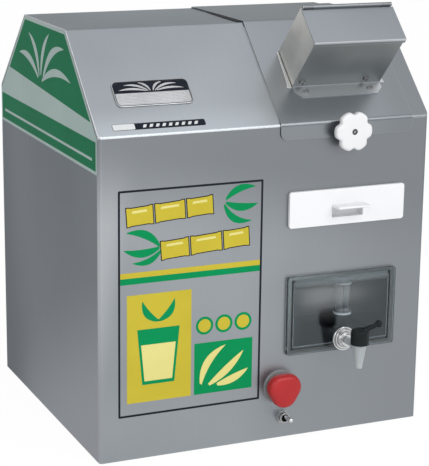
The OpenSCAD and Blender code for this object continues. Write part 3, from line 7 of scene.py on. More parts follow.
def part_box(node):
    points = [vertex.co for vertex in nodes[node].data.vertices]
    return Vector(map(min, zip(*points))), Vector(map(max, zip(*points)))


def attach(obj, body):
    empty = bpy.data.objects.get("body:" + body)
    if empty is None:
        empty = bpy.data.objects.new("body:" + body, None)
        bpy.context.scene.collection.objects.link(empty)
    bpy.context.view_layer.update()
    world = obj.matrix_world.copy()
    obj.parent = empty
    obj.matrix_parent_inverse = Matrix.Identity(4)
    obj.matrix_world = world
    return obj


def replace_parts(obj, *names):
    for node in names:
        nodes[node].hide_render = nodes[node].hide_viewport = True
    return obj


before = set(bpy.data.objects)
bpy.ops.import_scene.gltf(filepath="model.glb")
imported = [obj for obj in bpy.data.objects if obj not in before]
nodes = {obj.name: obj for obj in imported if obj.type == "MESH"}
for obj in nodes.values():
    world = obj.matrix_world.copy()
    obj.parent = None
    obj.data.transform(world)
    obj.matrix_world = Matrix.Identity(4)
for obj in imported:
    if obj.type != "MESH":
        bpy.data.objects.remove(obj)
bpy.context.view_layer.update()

# Cabinet shell: folded stainless sheet with an upright brushed grain, spot-welded at the corners.
# The front and back wrap round the upright corners, the side panels sit under the roof sheet,
# and the flat base closes the box. Handling leaves cloudy patches; the paler edges are partly wear
# and partly painted highlight, and zones on the sheets are painted light and shade.
mm = 0.001


def new_group(name, vectors, numbers, results):
    """New shader node group with named sockets, and its input and output nodes."""
    group = bpy.data.node_groups.new(name, "ShaderNodeTree")
    for sockets, way, kind in (
        (vectors, "INPUT", "NodeSocketVector"),
        (numbers, "INPUT", "NodeSocketFloat"),
        (results, "OUTPUT", "NodeSocketFloat"),
    ):
        for socket in sockets:
            group.interface.new_socket(socket, in_out=way, socket_type=kind)
    return group, group.nodes.new("NodeGroupInput"), group.nodes.new("NodeGroupOutput")


def use_group(tree, group, **sockets):
    """Node of a group in a tree, with its sockets set; gives its outputs."""
    node = tree.nodes.new("ShaderNodeGroup")
    node.node_tree = group
    for name, value in sockets.items():
        node.inputs[name.replace("_", " ")].default_value = value
    return node.outputs


def feed(tree, socket, term):
    """Sets a socket to a number or links it to another socket."""
    if isinstance(term, (int, float)):
        socket.default_value = term
    else:
        tree.links.new(term, socket)


def combine(tree, operation, *terms):
    """Result of a math node; a term is a number or a socket."""
    node = tree.nodes.new("ShaderNodeMath")
    node.operation = operation
    for socket, term in zip(node.inputs, terms):
        feed(tree, socket, term)
    return node.outputs[0]


def combine_vectors(tree, operation, first, second):
    """Vector math node of two sockets; gives its outputs."""
    node = tree.nodes.new("ShaderNodeVectorMath")
    node.operation = operation
    tree.links.new(first, node.inputs[0])
    tree.links.new(second, node.inputs[1])
    return node.outputs


def spread(tree, value, low, high, to=(0.0, 1.0), smooth=False):
    """Result of a range node that takes low and high to two other values."""
    node = tree.nodes.new("ShaderNodeMapRange")
    node.interpolation_type = "SMOOTHSTEP" if smooth else "LINEAR"
    for name, term in zip(("Value", "From Min", "From Max", "To Min", "To Max"), (value, low, high, *to)):
        feed(tree, node.inputs[name], term)
    return node.outputs["Result"]


def cloudy(tree, place, scale, detail):
    """Noise at a place; its scale is a number or a socket."""
    node = tree.nodes.new("ShaderNodeTexNoise")
    node.inputs["Detail"].default_value = detail
    feed(tree, node.inputs["Scale"], scale)
    tree.links.new(place, node.inputs["Vector"])
    return node.outputs["Fac"]


def grain_group():
    """Stretched grain, long streaks and wide cloudy patches over a worked surface."""
    group, inputs, outputs = new_group(
        "worked_grain", ("Stretch",), ("Patch Scale",), ("Grain", "Streak", "Patch"),
    )
    place = group.nodes.new("ShaderNodeTexCoord").outputs["Object"]
    stretched = combine_vectors(group, "MULTIPLY", place, inputs.outputs["Stretch"])["Vector"]
    patch = cloudy(group, place, inputs.outputs["Patch Scale"], 2.0)
    group.links.new(cloudy(group, stretched, 1.0, 4.0), outputs.inputs["Grain"])
    group.links.new(cloudy(group, stretched, 0.3, 3.0), outputs.inputs["Streak"])
    group.links.new(patch, outputs.inputs["Patch"])
    return group


def edge_group():
    """Mask of the outer edges, for wear and for painted highlight."""
    group, inputs, outputs = new_group("worn_and_highlit_edge", (), ("Radius",), ("Mask",))
    rounded_off = group.nodes.new("ShaderNodeBevel")
    rounded_off.samples = 4
    group.links.new(inputs.outputs["Radius"], rounded_off.inputs["Radius"])
    surface = group.nodes.new("ShaderNodeNewGeometry")
    likeness = combine_vectors(
        group, "DOT_PRODUCT", rounded_off.outputs["Normal"], surface.outputs["Normal"],
    )["Value"]
    group.links.new(spread(group, likeness, 0.995, 0.8), outputs.inputs["Mask"])
    return group


def place_group():
    """Mask that grows along a direction, between two distances from the object's origin."""
    group, inputs, outputs = new_group("placed_mask", ("Along",), ("Start", "End"), ("Mask",))
    place = group.nodes.new("ShaderNodeTexCoord").outputs["Object"]
    distance = combine_vectors(group, "DOT_PRODUCT", place, inputs.outputs["Along"])["Value"]
    mask = spread(group, distance, inputs.outputs["Start"], inputs.outputs["End"], smooth=True)
    group.links.new(mask, outputs.inputs["Mask"])
    return group


worked_grain = grain_group()
worn_and_highlit_edge = edge_group()
placed_mask = place_group()


def finish(
    name, colour, shade, edge, grain, patches, rough, bump, depth,
    streaks=0.2, edge_band=0.8 * mm, zones=(), **sockets
):
    """Material with grain, cloudy colour, painted light and shade in zones, and worn and highlit edges.

    The clouds go from colour to shade. A zone is a direction, two distances along it and the colour
    that comes in between them, a painted light or shade; the sockets are constants of the shader.
    """
    material = bpy.data.materials.new(name)
    material.use_nodes = True
    tree = material.node_tree
    new, link = tree.nodes.new, tree.links.new
    shader = tree.nodes["Principled BSDF"]
    for socket, value in sockets.items():
        shader.inputs[socket.replace("_", " ")].default_value = value
    worked = use_group(tree, worked_grain, Stretch=grain, Patch_Scale=patches)
    streak_part = combine(tree, "MULTIPLY", worked["Streak"], streaks)
    cloud = combine(tree, "MULTIPLY_ADD", worked["Patch"], 1 - streaks, streak_part)
    layers = [(shade, spread(tree, cloud, 0.36, 0.64))]
    for along, start, end, zone_colour in zones:
        layers.append((zone_colour, use_group(tree, placed_mask, Along=along, Start=start, End=end)["Mask"]))
    if edge_band:
        layers.append((edge, use_group(tree, worn_and_highlit_edge, Radius=edge_band)["Mask"]))
    base = None
    for layer_colour, mask in layers:
        mixed = new("ShaderNodeMix")
        mixed.data_type = "RGBA"
        mixed.inputs["B"].default_value = (*layer_colour, 1)
        if base:
            link(base, mixed.inputs["A"])
        else:
            mixed.inputs["A"].default_value = (*colour, 1)
        link(mask, mixed.inputs["Factor"])
        base = mixed.outputs["Result"]
    link(base, shader.inputs["Base Color"])
    link(spread(tree, worked["Grain"], 0.3, 0.7, rough), shader.inputs["Roughness"])
    relief = new("ShaderNodeBump")
    relief.inputs["Strength"].default_value = bump
    relief.inputs["Distance"].default_value = depth
    link(worked["Grain"], relief.inputs["Height"])
    link(relief.outputs["Normal"], shader.inputs["Normal"])
    return material


upright_grain = (1500, 40, 14)
side_grain = (40, 1500, 14)


def brushed(
    name, colour, shade, edge, tint, zones=(),
    grain=upright_grain, patches=4.0, rough=(0.36, 0.42), edge_band=0.8 * mm
):
    """Brushed stainless sheet; the tint is that of its reflection at flat angles."""
    return finish(
        name, colour, shade, edge, grain, patches, rough, bump=0.04, depth=0.04 * mm,
        streaks=0.06, edge_band=edge_band, zones=zones, Metallic=1.0, Specular_Tint=(*tint, 1),
    )


def dress(material, *names):
    """Gives CAD nodes their finish."""
    for name in names:
        nodes[name].data.materials.clear()
        nodes[name].data.materials.append(material)


def soften(width, *names):
    """Rounds the sharp edges of CAD nodes by a small bevel."""
    for name in names:
        weld = nodes[name].modifiers.new("weld", "WELD")
        weld.merge_threshold = 0.001 * mm
        bevel = nodes[name].modifiers.new("bevel", "BEVEL")
        bevel.width = width
        bevel.segments = 2
        bevel.limit_method = "ANGLE"
        bevel.angle_limit = math.radians(35)
        bevel.harden_normals = True


slope_turn = math.radians(43.965)
slope_foot = Vector((0, -178.5 * mm, 366 * mm))
up_slope = Vector((0, math.cos(slope_turn), math.sin(slope_turn)))
off_slope = Vector((0, -math.sin(slope_turn), math.cos(slope_turn)))
slope_start = slope_foot.dot(up_slope)
slope_base = slope_foot.dot(off_slope)
off_bend = (off_slope + Vector((0, -1, 0))).normalized()
bend_reach = max(corner.co.dot(off_bend) for corner in nodes["cover"].data.vertices)
steel, steel_shade = (0.305, 0.329, 0.354), (0.254, 0.274, 0.295)
cover_steel, cover_shade = (0.276, 0.299, 0.322), (0.232, 0.252, 0.272)
steel_edge = (0.56, 0.575, 0.59)
# Near-white edge colour: a painted highlight along sheet edges and bends.
edge_highlight = (0.9, 0.91, 0.92)
# Darker tone for faces turned down below a bend: painted shade.
painted_flap_shade = (0.25, 0.27, 0.29)
steel_tint, cover_tint = (0.48, 0.5, 0.51), (0.46, 0.48, 0.49)
# Wider edge band, which widens the painted highlight on the bends.
wide_highlight_band = 1.6 * mm
sheet = brushed("brushed_sheet", steel, steel_shade, edge_highlight, steel_tint, edge_band=wide_highlight_band)
# Roof sheet: near-white edges and a lighter band up from the slope's foot paint the highlight along the front
# bend.
roof_sheet = brushed(
    "brushed_roof_sheet", steel, steel_shade, (0.97, 0.97, 0.97), steel_tint, edge_band=wide_highlight_band,
    zones=((up_slope, slope_start + 40 * mm, slope_start, (0.36, 0.388, 0.417)),),
)
# Cover sheet: painted shade, darker on its front flap below the bend, towards its right and on the bend's
# outer crest.
cover_sheet = brushed(
    "brushed_cover_sheet", cover_steel, cover_shade, (0.42, 0.432, 0.445), cover_tint,
    rough=(0.285, 0.325),
    zones=(
        ((0, 0, 1), 367.5 * mm, 365 * mm, painted_flap_shade),
        ((1, 0, 0), 115 * mm, 172 * mm, (0.226, 0.245, 0.264)),
        (off_bend, bend_reach - 0.7 * mm, bend_reach - 0.25 * mm, (0.17, 0.184, 0.198)),
    ),
)
# Front and back sheet: a lighter copy of the steel, darker towards the right and the top and lighter at the
# left corner, painted light and shade.
front_sheet = brushed(
    "brushed_front_sheet", (0.338, 0.36, 0.384), (0.275, 0.297, 0.318), steel_edge, steel_tint,
    zones=(
        ((1, 0, 0), -20 * mm, 190 * mm, (0.257, 0.275, 0.294)),
        ((-1, 0, 0.18), 205 * mm, 240 * mm, (0.41, 0.43, 0.45)),
        ((0.2, 0, 1), 222 * mm, 326 * mm, (0.222, 0.238, 0.254)),
    ),
)
# Side sheet: a darker copy of the steel, lighter towards the bottom front and darker towards the back,
# painted light and shade.
side_sheet = brushed(
    "brushed_side_sheet", (0.256, 0.273, 0.293), (0.226, 0.243, 0.262), steel_edge, (0.42, 0.43, 0.44),
    grain=side_grain,
    zones=(
        ((0, -0.55, -1), -150 * mm, 40 * mm, (0.375, 0.394, 0.417)),
        ((0, 1, -0.2), 50 * mm, 170 * mm, (0.2, 0.215, 0.231)),
    ),
)
dress(front_sheet, "front_panel", "back_panel")
dress(roof_sheet, "left_roof")
dress(cover_sheet, "right_roof")
dress(sheet, "base_plate", "service_cover", "wet_floor")
dress(side_sheet, "left_panel", "right_panel", "bulkhead")
soften(0.4 * mm, "left_roof", "right_roof")

# Roof strips: a black strip along the roof's top beside the hinged cover, half round and thinner
# towards the back, is the painted shadow of the gap at the cover's edge; a grey strip on the slope
# under the cover's edge fills the seam with a painted shade.


def loft(shape, rings, closed=False, material=0):
    """Skins a row of rings of points; an open row is capped at both ends."""
    rows = [[shape.verts.new(point) for point in ring] for ring in rings]
    pairs = list(zip(rows, rows[1:] + rows[:1])) if closed else list(zip(rows, rows[1:]))
    faces = []
    for low, high in pairs:
        for i in range(len(low)):
            j = (i + 1) % len(low)
            faces.append(shape.faces.new((low[i], low[j], high[j], high[i])))
    if not closed:
        faces.append(shape.faces.new(rows[0][::-1]))
        faces.append(shape.faces.new(rows[-1]))
    for face in faces:
        face.material_index = material


def put_in(name, data):
    """New object in the scene."""
    made = bpy.data.objects.new(name, data)
    bpy.context.scene.collection.objects.link(made)
    return made


def add_piece(name, shape, body, slot, *materials):
    """Turns a finished shape into a piece that rides on a body; the slot is not used."""
    bmesh.ops.recalc_face_normals(shape, faces=shape.faces)
    for face in shape.faces:
        face.smooth = True
    mesh = bpy.data.meshes.new(name)
    shape.to_mesh(mesh)
    shape.free()
    mesh.set_sharp_from_angle(angle=math.radians(38))
    for material in materials:
        mesh.materials.append(material)
    made = put_in(name, mesh)
    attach(made, body)
    return made


def on_slope(u, v, height):
    """Place on the front roof slope: across, up the slope and outwards, in millimetres."""
    return slope_foot + Vector((u * mm, 0, 0)) + up_slope * (v * mm) + off_slope * (height * mm)


# Black strip that paints the shadow in the gap at the cover's edge.
gap_shadow_black = finish(
    "black_gap_shadow", (0.014, 0.014, 0.015), (0.022, 0.022, 0.023), (0.05, 0.05, 0.052),
    grain=(400,) * 3, patches=30.0, rough=(0.5, 0.62), bump=0.1, depth=0.05 * mm,
    Specular_IOR_Level=0.05,
)
# Grey strip under the cover's edge whose grey fills the seam's gap: painted shade of the seam.
seam_grey = finish(
    "grey_seam_shade", (0.36, 0.37, 0.38), (0.3, 0.31, 0.32), (0.42, 0.43, 0.44),
    grain=(900,) * 3, patches=40.0, rough=(0.7, 0.85), bump=0.3, depth=0.05 * mm,
    Specular_IOR_Level=0.1,
)
cover_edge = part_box("cover")[0].x
roof_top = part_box("left_roof")[1].z
gap_shadow_front, gap_shadow_back = -71 * mm, 27 * mm
gap_shadow_width, gap_shadow_back_width = 6.0 * mm, 1.6 * mm
gap_shadow_height, gap_shadow_back_height = 1.7 * mm, 0.6 * mm
gap_shadow_clearance = 0.25 * mm
gap_shadow_steps = 12
gap_shadow_strip = bmesh.new()
gap_shadow_rings = []
for step in range(gap_shadow_steps + 1):
    share = step / gap_shadow_steps
    y = gap_shadow_front + (gap_shadow_back - gap_shadow_front) * share
    half = (gap_shadow_width + (gap_shadow_back_width - gap_shadow_width) * share ** 2) / 2
    height = gap_shadow_height + (gap_shadow_back_height - gap_shadow_height) * share ** 2
    gap_shadow_rings.append([
        (
            cover_edge - gap_shadow_clearance - half + half * math.cos(math.radians(turn)),
            y,
            roof_top + height * math.sin(math.radians(turn)),
        )
        for turn in range(0, 181, 20)
    ])
loft(gap_shadow_strip, gap_shadow_rings)
add_piece("roof_gap_shadow", gap_shadow_strip, "cabinet", "black_plastic", gap_shadow_black)
seam_fill = bmesh.new()
seam_fill_outline = ((-0.7, 0), (-0.7, 0.3), (-0.5, 0.5), (0, 0.55), (6, 0.55), (6, 0))
loft(seam_fill, [
    [on_slope(cover_edge / mm + u, v, height) for u, height in seam_fill_outline]
    for v in (4, 70, 138)
])
add_piece("cover_seam_fill", seam_fill, "cabinet", "black_plastic", seam_grey)

# Drive: a flange-mounted worm gearmotor stands on end in the dry left bay. Cast housings with a
# satin grey-blue enamel, a dark pressed fan cowl and a moulded terminal box on the motor's side.
enamel = finish(
    "motor_enamel", (0.16, 0.19, 0.23), (0.12, 0.145, 0.18), (0.3, 0.33, 0.37),
    grain=(300,) * 3, patches=12.0, rough=(0.38, 0.55), bump=0.25, depth=0.1 * mm,
)
dark_enamel = finish(
    "dark_enamel", (0.045, 0.047, 0.05), (0.03, 0.031, 0.033), (0.12, 0.12, 0.125),
    grain=(400,) * 3, patches=14.0, rough=(0.4, 0.55), bump=0.2, depth=0.1 * mm,
)
dress(enamel, "gearbox", "motor")
dress(dark_enamel, "motor_cowl", "terminal_box")

# Mill: ground cheek plates tied by turned bars carry three fluted stainless rollers in bronze
# bushes. The gears behind the partition are cut steel with a film of oil.
ground_plate = finish(
    "ground_plate", (0.34, 0.345, 0.35), (0.27, 0.275, 0.28), steel_edge,
    grain=(40, 900, 60), patches=10.0, rough=(0.29, 0.42), bump=0.1, depth=0.05 * mm, Metallic=1.0,
)
fluted_steel = finish(
    "fluted_steel", (0.37, 0.375, 0.38), (0.29, 0.295, 0.3), (0.55, 0.55, 0.55),
    grain=(1800, 60, 60), patches=14.0, rough=(0.29, 0.36), bump=0.1, depth=0.04 * mm, Metallic=1.0,
)
oiled_steel = finish(
    "oiled_steel", (0.2, 0.19, 0.18), (0.13, 0.12, 0.115), (0.42, 0.41, 0.4),
    grain=(700, 90, 90), patches=25.0, rough=(0.29, 0.42), bump=0.12, depth=0.05 * mm, Metallic=1.0,
)
bronze = finish(
    "turned_bronze", (0.55, 0.34, 0.13), (0.42, 0.25, 0.09), (0.75, 0.52, 0.25),
    grain=(1400, 60, 60), patches=20.0, rough=(0.29, 0.4), bump=0.1, depth=0.05 * mm, Metallic=1.0,
)
dress(ground_plate, "left_cheek", "right_cheek", "gear_plate")
dress(fluted_steel, "tie_bars", "turn_plate", "top_roller", "front_roller", "rear_roller")
dress(oiled_steel, "top_gear", "front_gear", "rear_gear")
dress(bronze, "bushes")

# Juice and fibre path: thin folded stainless, with a sloping pan that drains to the reservoir,
# a shelf with guides for the drawer and a slide that throws the pressed fibre out at the back.
dress(sheet, "juice_pan", "drawer_shelf", "bagasse_slide")

# Strainer drawer: a white food-grade moulding with a tongue grip over a finger pocket. A punched
# stainless strainer plate lies on its ledge.
white_moulding = finish(
    "white_moulding", (0.79, 0.80, 0.82), (0.76, 0.77, 0.79), (0.82, 0.83, 0.84),
    grain=(260,) * 3, patches=9.0, rough=(0.32, 0.42), bump=0.06, depth=0.05 * mm,
)
dress(white_moulding, "drawer")
soften(0.8 * mm, "drawer")
dress(sheet, "strainer")

# Reservoir: a box glued from clear acrylic sheet, with a drip tray and a drop tube in its top.
# The front plate is wider than the box and closes the opening in the panel. A rough reflective coat
# on it, thicker towards its upper left, paints a sheen.
acrylic_ior = 1.49
clear_acrylic = finish(
    "clear_acrylic", (0.86, 0.91, 0.935), (0.82, 0.875, 0.9), (0.7, 0.74, 0.76),
    grain=(14,) * 3, patches=9.0, rough=(0.02, 0.06), bump=0.02, depth=0.02 * mm,
    Transmission_Weight=1.0, IOR=acrylic_ior, Specular_IOR_Level=0.3,
    Specular_Tint=(0.84, 0.95, 1.0, 1), Coat_Roughness=0.55, Coat_IOR=2.3,
)
hazy_acrylic = finish(
    "hazy_acrylic", (0.78, 0.84, 0.88), (0.68, 0.74, 0.79), (0.8, 0.84, 0.88),
    grain=(60, 14, 60), patches=18.0, rough=(0.02, 0.07), bump=0.06, depth=0.05 * mm,
    Transmission_Weight=0.92, IOR=acrylic_ior, Specular_IOR_Level=1.0,
)


def sheen_mask_group():
    """Mask of a painted sheen on the clear plate, thicker towards its upper left."""
    group, inputs, outputs = new_group(
        "painted_sheen", (), ("Side", "Left", "Right", "Low", "High", "Top", "Amount"), ("Mask",),
    )
    place = group.nodes.new("ShaderNodeTexCoord").outputs["Object"]
    stretch = group.nodes.new("ShaderNodeVectorMath")
    stretch.operation = "MULTIPLY"
    stretch.inputs[1].default_value = (9, 9, 60)
    parts = group.nodes.new("ShaderNodeSeparateXYZ")
    group.links.new(place, stretch.inputs[0])
    group.links.new(place, parts.inputs[0])
    total = cloudy(group, stretch.outputs["Vector"], 1.0, 3.0)
    for axis, start, end in (
        ("X", "Side", "Left"), ("X", "Right", "Left"), ("Z", "Low", "High"), ("Z", "Top", "High"),
    ):
        start_at, end_at = inputs.outputs[start], inputs.outputs[end]
        reach = spread(group, parts.outputs[axis], start_at, end_at, smooth=True)
        total = combine(group, "MULTIPLY", total, reach)
    group.links.new(combine(group, "MULTIPLY", total, inputs.outputs["Amount"]), outputs.inputs["Mask"])
    return group


# The sheen mask feeds the coat: a painted reflection on the plate.
sheen_mask = use_group(
    clear_acrylic.node_tree, sheen_mask_group(), Side=18 * mm, Left=62 * mm, Right=165 * mm,
    Low=130 * mm, High=170 * mm, Top=194 * mm, Amount=1.5,
)
acrylic_shader = clear_acrylic.node_tree.nodes["Principled BSDF"]
clear_acrylic.node_tree.links.new(sheen_mask["Mask"], acrylic_shader.inputs["Coat Weight"])
dress(clear_acrylic, "reservoir")
dress(hazy_acrylic, "drip_tray")
soften(0.5 * mm, "reservoir")

# Plate seal: a flat ring of soft grey rubber stuck to the back of the clear front plate, where the
# plate laps over the opening in the panel. Inside it runs the pale glue line of the box's walls.
# The seal is paler towards its upper left: painted light.
soft_rubber = finish(
    "soft_grey_rubber", (0.11, 0.114, 0.112), (0.09, 0.094, 0.092), (0.15, 0.155, 0.15),
    grain=(500,) * 3, patches=30.0, rough=(0.6, 0.75), bump=0.1, depth=0.04 * mm,
    zones=(((-1, 0, 0.8), 40 * mm, 120 * mm, (0.27, 0.285, 0.29)),),
    Specular_IOR_Level=0.1,
)
glue_line = finish(
    "glue_line", (0.27, 0.3, 0.315), (0.2, 0.225, 0.24), (0.34, 0.37, 0.38),
    grain=(200,) * 3, patches=40.0, rough=(0.2, 0.35), bump=0.05, depth=0.02 * mm,
)
plate_low, plate_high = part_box("reservoir")
plate_thick = 4.0 * mm
plate_back = plate_low.y + plate_thick


def ring_behind_plate(shape, profile, material):
    """Ring on the plate's back; a profile gives insets from its sides and top, and depths, in mm."""
    rings = []
    for inset, top, depth in profile:
        left, right = plate_low.x + inset * mm, plate_high.x - inset * mm
        low, high = plate_low.z + inset * mm, plate_high.z - top * mm
        y = plate_back + depth * mm
        rings.append([(left, y, low), (right, y, low), (right, y, high), (left, y, high)])
    loft(shape, rings, closed=True, material=material)


plate_seal = bmesh.new()
ring_behind_plate(plate_seal, (
    (0.5, 0.5, 0.04), (0.5, 0.5, 0.24), (0.6, 0.6, 0.32),
    (5.4, 4.0, 0.32), (5.5, 4.1, 0.24), (5.5, 4.1, 0.04),
), 0)
ring_behind_plate(plate_seal, ((8.1, 8.1, 0.05), (8.1, 8.1, 0.2), (8.9, 8.9, 0.2), (8.9, 8.9, 0.05)), 1)
add_piece("plate_seal", plate_seal, "reservoir", "black_plastic", soft_rubber, glue_line)

# Drop tube's trim: a pale lip round the tube's mouth and a collar where it meets the tray, painted
# highlights for the glints at the tube's ends, and a dark line down its front, a painted shade.
pale_glint_lip = finish(
    "pale_glint_lip", (0.74, 0.79, 0.82), (0.68, 0.73, 0.77), (0.84, 0.87, 0.88),
    grain=(200,) * 3, patches=60.0, rough=(0.06, 0.14), bump=0.03, depth=0.02 * mm,
    Specular_IOR_Level=1.0,
)
dark_tube_line = finish(
    "dark_tube_line", (0.03, 0.034, 0.04), (0.02, 0.024, 0.03), (0.05, 0.055, 0.06),
    grain=(300,) * 3, patches=60.0, rough=(0.3, 0.45), bump=0.05, depth=0.02 * mm,
)
tube_x, tube_y, tube_reach = 102.95 * mm, -165.0 * mm, 9.5 * mm
tube_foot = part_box("drip_tray")[0].z
tube_steps = 48
trim_gap, trim_round = 0.05, 0.4
dark_line_from, dark_line_to, dark_line_thick = math.radians(246), math.radians(252), 0.25


def round_tube(reach, turn, rise):
    """Place round the drop tube: outwards from its wall, round it and up from its mouth."""
    out = tube_reach + reach * mm
    return (tube_x + out * math.cos(turn), tube_y + out * math.sin(turn), tube_foot + rise * mm)


tube_trim = bmesh.new()
for low, high, swell in ((0.1, 2.6, 1.2), (36.5, 38.2, 0.8)):
    trim_profile = (
        (trim_gap, low), (swell - trim_round, low), (swell, low + trim_round),
        (swell, high - trim_round), (swell - trim_round, high), (trim_gap, high),
    )
    loft(tube_trim, [
        [round_tube(reach, math.tau * step / tube_steps, rise) for step in range(tube_steps)]
        for reach, rise in trim_profile
    ], closed=True)
dark_line_outline = (
    (dark_line_from, trim_gap), (dark_line_to, trim_gap), (dark_line_to, dark_line_thick), (dark_line_from, dark_line_thick),
)
loft(tube_trim, [
    [round_tube(reach, turn, rise) for turn, reach in dark_line_outline]
    for rise in (2.8, 19, 36.3)
], material=1)
add_piece("drop_tube_trim", tube_trim, "reservoir", "clear_plastic", pale_glint_lip, dark_tube_line)

# Tap: a chromed rosette with stepped rings and two hexagon nuts hold a milky moulded body with
# a tapered spout. A black cap with a lever turns the plug inside.
chrome = finish(
    "polished_plate", (0.64, 0.655, 0.66), (0.55, 0.565, 0.57), (0.8, 0.81, 0.81),
    grain=(120,) * 3, patches=30.0, rough=(0.08, 0.18), bump=0.03, depth=0.02 * mm, Metallic=1.0,
)
zinc = finish(
    "zinc_plate", (0.36, 0.365, 0.37), (0.29, 0.295, 0.3), (0.6, 0.6, 0.6),
    grain=(160,) * 3, patches=60.0, rough=(0.285, 0.38), bump=0.08, depth=0.03 * mm, Metallic=1.0,
)
milky_moulding = finish(
    "milky_moulding", (0.5, 0.545, 0.56), (0.45, 0.49, 0.505), (0.6, 0.63, 0.64),
    grain=(200,) * 3, patches=40.0, rough=(0.3, 0.42), bump=0.06, depth=0.05 * mm,
    Transmission_Weight=0.25, IOR=1.5,
)
black_moulding = finish(
    "black_moulding", (0.012, 0.015, 0.016), (0.016, 0.02, 0.021), (0.03, 0.033, 0.034),
    grain=(500,) * 3, patches=40.0, rough=(0.34, 0.5), bump=0.15, depth=0.05 * mm,
    Specular_IOR_Level=0.06,
)
dress(milky_moulding, "tap_body")
dress(black_moulding, "tap_lever")
flange_low, flange_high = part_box("tap_flange")
flange_x, flange_z = (flange_low.x + flange_high.x) / 2, (flange_low.z + flange_high.z) / 2
flange_reach = (flange_high.x - flange_low.x) / 2 + 1.2 * mm
shank_reach = 4.05 * mm
nut_across = 13.4 * mm
nut_corner = nut_across * 0.577
nut_chamfer = 0.8 * mm
hexagon_side = math.radians(60)
turned_steps = 72


def turned(shape, profile, material, across=None):
    """Closed ring round the tap's shank; a width across flats cuts the outer points to a hexagon."""
    rings = []
    for reach, y in profile:
        ring = []
        for step in range(turned_steps):
            turn = math.tau * step / turned_steps
            flat = hexagon_side * round(turn / hexagon_side - 0.5) + hexagon_side / 2
            out = min(reach, across / 2 / math.cos(turn - flat)) if across else reach
            ring.append((flange_x + out * math.cos(turn), y, flange_z + out * math.sin(turn)))
        rings.append(ring)
    loft(shape, rings, closed=True, material=material)


rosette = bmesh.new()
for outer, inner, rise, foot in ((1.0, 0.86, 2.2, 0.0), (0.80, 0.66, 3.6, 0.4), (0.6, 0.33, 4.4, 1.6)):
    outer_reach, inner_reach = flange_reach * outer, flange_reach * inner
    back, front = plate_low.y - foot * mm, plate_low.y - rise * mm
    turned(rosette, [
        (inner_reach, back), (outer_reach, back), (outer_reach, front + 0.8 * mm),
        (outer_reach - 0.25 * mm, front + 0.25 * mm), (outer_reach - 0.8 * mm, front),
        (inner_reach + 0.5 * mm, front), (inner_reach, front + 0.6 * mm),
    ], 0)
# The grooves between the stepped rings take the darker zinc: painted shade.
for outer, inner, rise in ((0.87, 0.79, 1.0), (0.67, 0.59, 2.4)):
    outer_reach, inner_reach = flange_reach * outer, flange_reach * inner
    front = plate_low.y - rise * mm
    turned(rosette, [
        (inner_reach, plate_low.y), (outer_reach, plate_low.y), (outer_reach, front), (inner_reach, front),
    ], 1)
for near, far in ((plate_low.y - 4.2 * mm, flange_low.y), (flange_high.y, flange_high.y - 5.0 * mm)):
    chamfer = math.copysign(nut_chamfer, far - near)
    turned(rosette, [
        (shank_reach, near), (nut_across / 2, near), (nut_corner, near + chamfer),
        (nut_corner, far - chamfer), (nut_across / 2, far), (shank_reach, far),
    ], 0, nut_across)
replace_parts(add_piece("tap_rosette", rosette, "reservoir", "polished_steel", chrome, zinc), "tap_flange")

# Cover: one bent stainless sheet over the mill bay, hinged at the back. It carries the square
# feed chute, whose foot flange is screwed down at the front, and the chute's folded lid.
lid_edge = (0.6, 0.615, 0.63)
# Flange sheet: lighter on its foot plate close to the slope, painted light.
flange_sheet = brushed(
    "flange_sheet", (0.288, 0.302, 0.304), (0.242, 0.253, 0.25), lid_edge, (0.6, 0.62, 0.63), patches=14.0,
    zones=((off_slope, slope_base + 5.0 * mm, slope_base + 3.0 * mm, (0.42, 0.44, 0.46)),),
)
# Lid sheet: lighter at its front fold (painted highlight), darker on its turned-down lip and at its rear
# knuckle (painted shade).
lid_sheet = brushed(
    "brushed_lid_sheet", cover_steel, cover_shade, lid_edge, cover_tint,
    zones=(
        (up_slope, slope_start + 49.2 * mm, slope_start + 47.4 * mm, (0.66, 0.675, 0.69)),
        (off_slope, slope_base + 79.4 * mm, slope_base + 77.8 * mm, painted_flap_shade),
        (up_slope, slope_start + 93.6 * mm, slope_start + 94.6 * mm, (0.22, 0.235, 0.25)),
    ),
)
dress(cover_sheet, "cover")
dress(lid_sheet, "chute_lid")
dress(flange_sheet, "chute_flange")
soften(0.35 * mm, "cover")
# Chute sheet: darker at the top of its walls under the lid, painted shade.
chute_sheet = finish(
    "chute_sheet", (0.84, 0.82, 0.77), (0.68, 0.66, 0.62), (0.88, 0.87, 0.85),
    grain=(40, 900, 900), patches=22.0, rough=(0.36, 0.5), bump=0.12, depth=0.05 * mm,
    zones=((off_slope, slope_base + 79.6 * mm, slope_base + 80.2 * mm, (0.19, 0.2, 0.21)),),
    Metallic=1.0,
)
dress(chute_sheet, "feed_chute")
# Side flanges: a lighter copy of the steel with near-white edges, painted highlight.
side_flange = brushed(
    "side_flange_sheet", (0.5, 0.515, 0.53), (0.42, 0.435, 0.45), edge_highlight, (1, 1, 1),
    patches=6.0, rough=(0.34, 0.42),
)
chute_low, chute_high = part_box("feed_chute")
side_flanges = bmesh.new()
side_flange_widths = (
    (47.6, 5.6), (49.0, 6.4), (52.0, 5.4), (60.0, 4.6), (80.0, 3.8), (97.0, 3.0), (98.2, 2.4),
)
for wall, way in ((chute_low.x / mm, -1), (chute_high.x / mm, 1)):
    rings = []
    for v, wide in side_flange_widths:
        outline = ((0.7, 1.85), (wide, 1.85), (wide, 2.5), (wide - 0.3, 2.8), (1.0, 2.8), (0.7, 2.5))
        rings.append([on_slope(wall + way * out, v, height) for out, height in outline])
    loft(side_flanges, rings)
add_piece("chute_side_flanges", side_flanges, "cover", "brushed_steel", side_flange)
dress(zinc, "hinge_base", "hinge_leaf", "chute_screws")
dress(oiled_steel, "lid_pin")

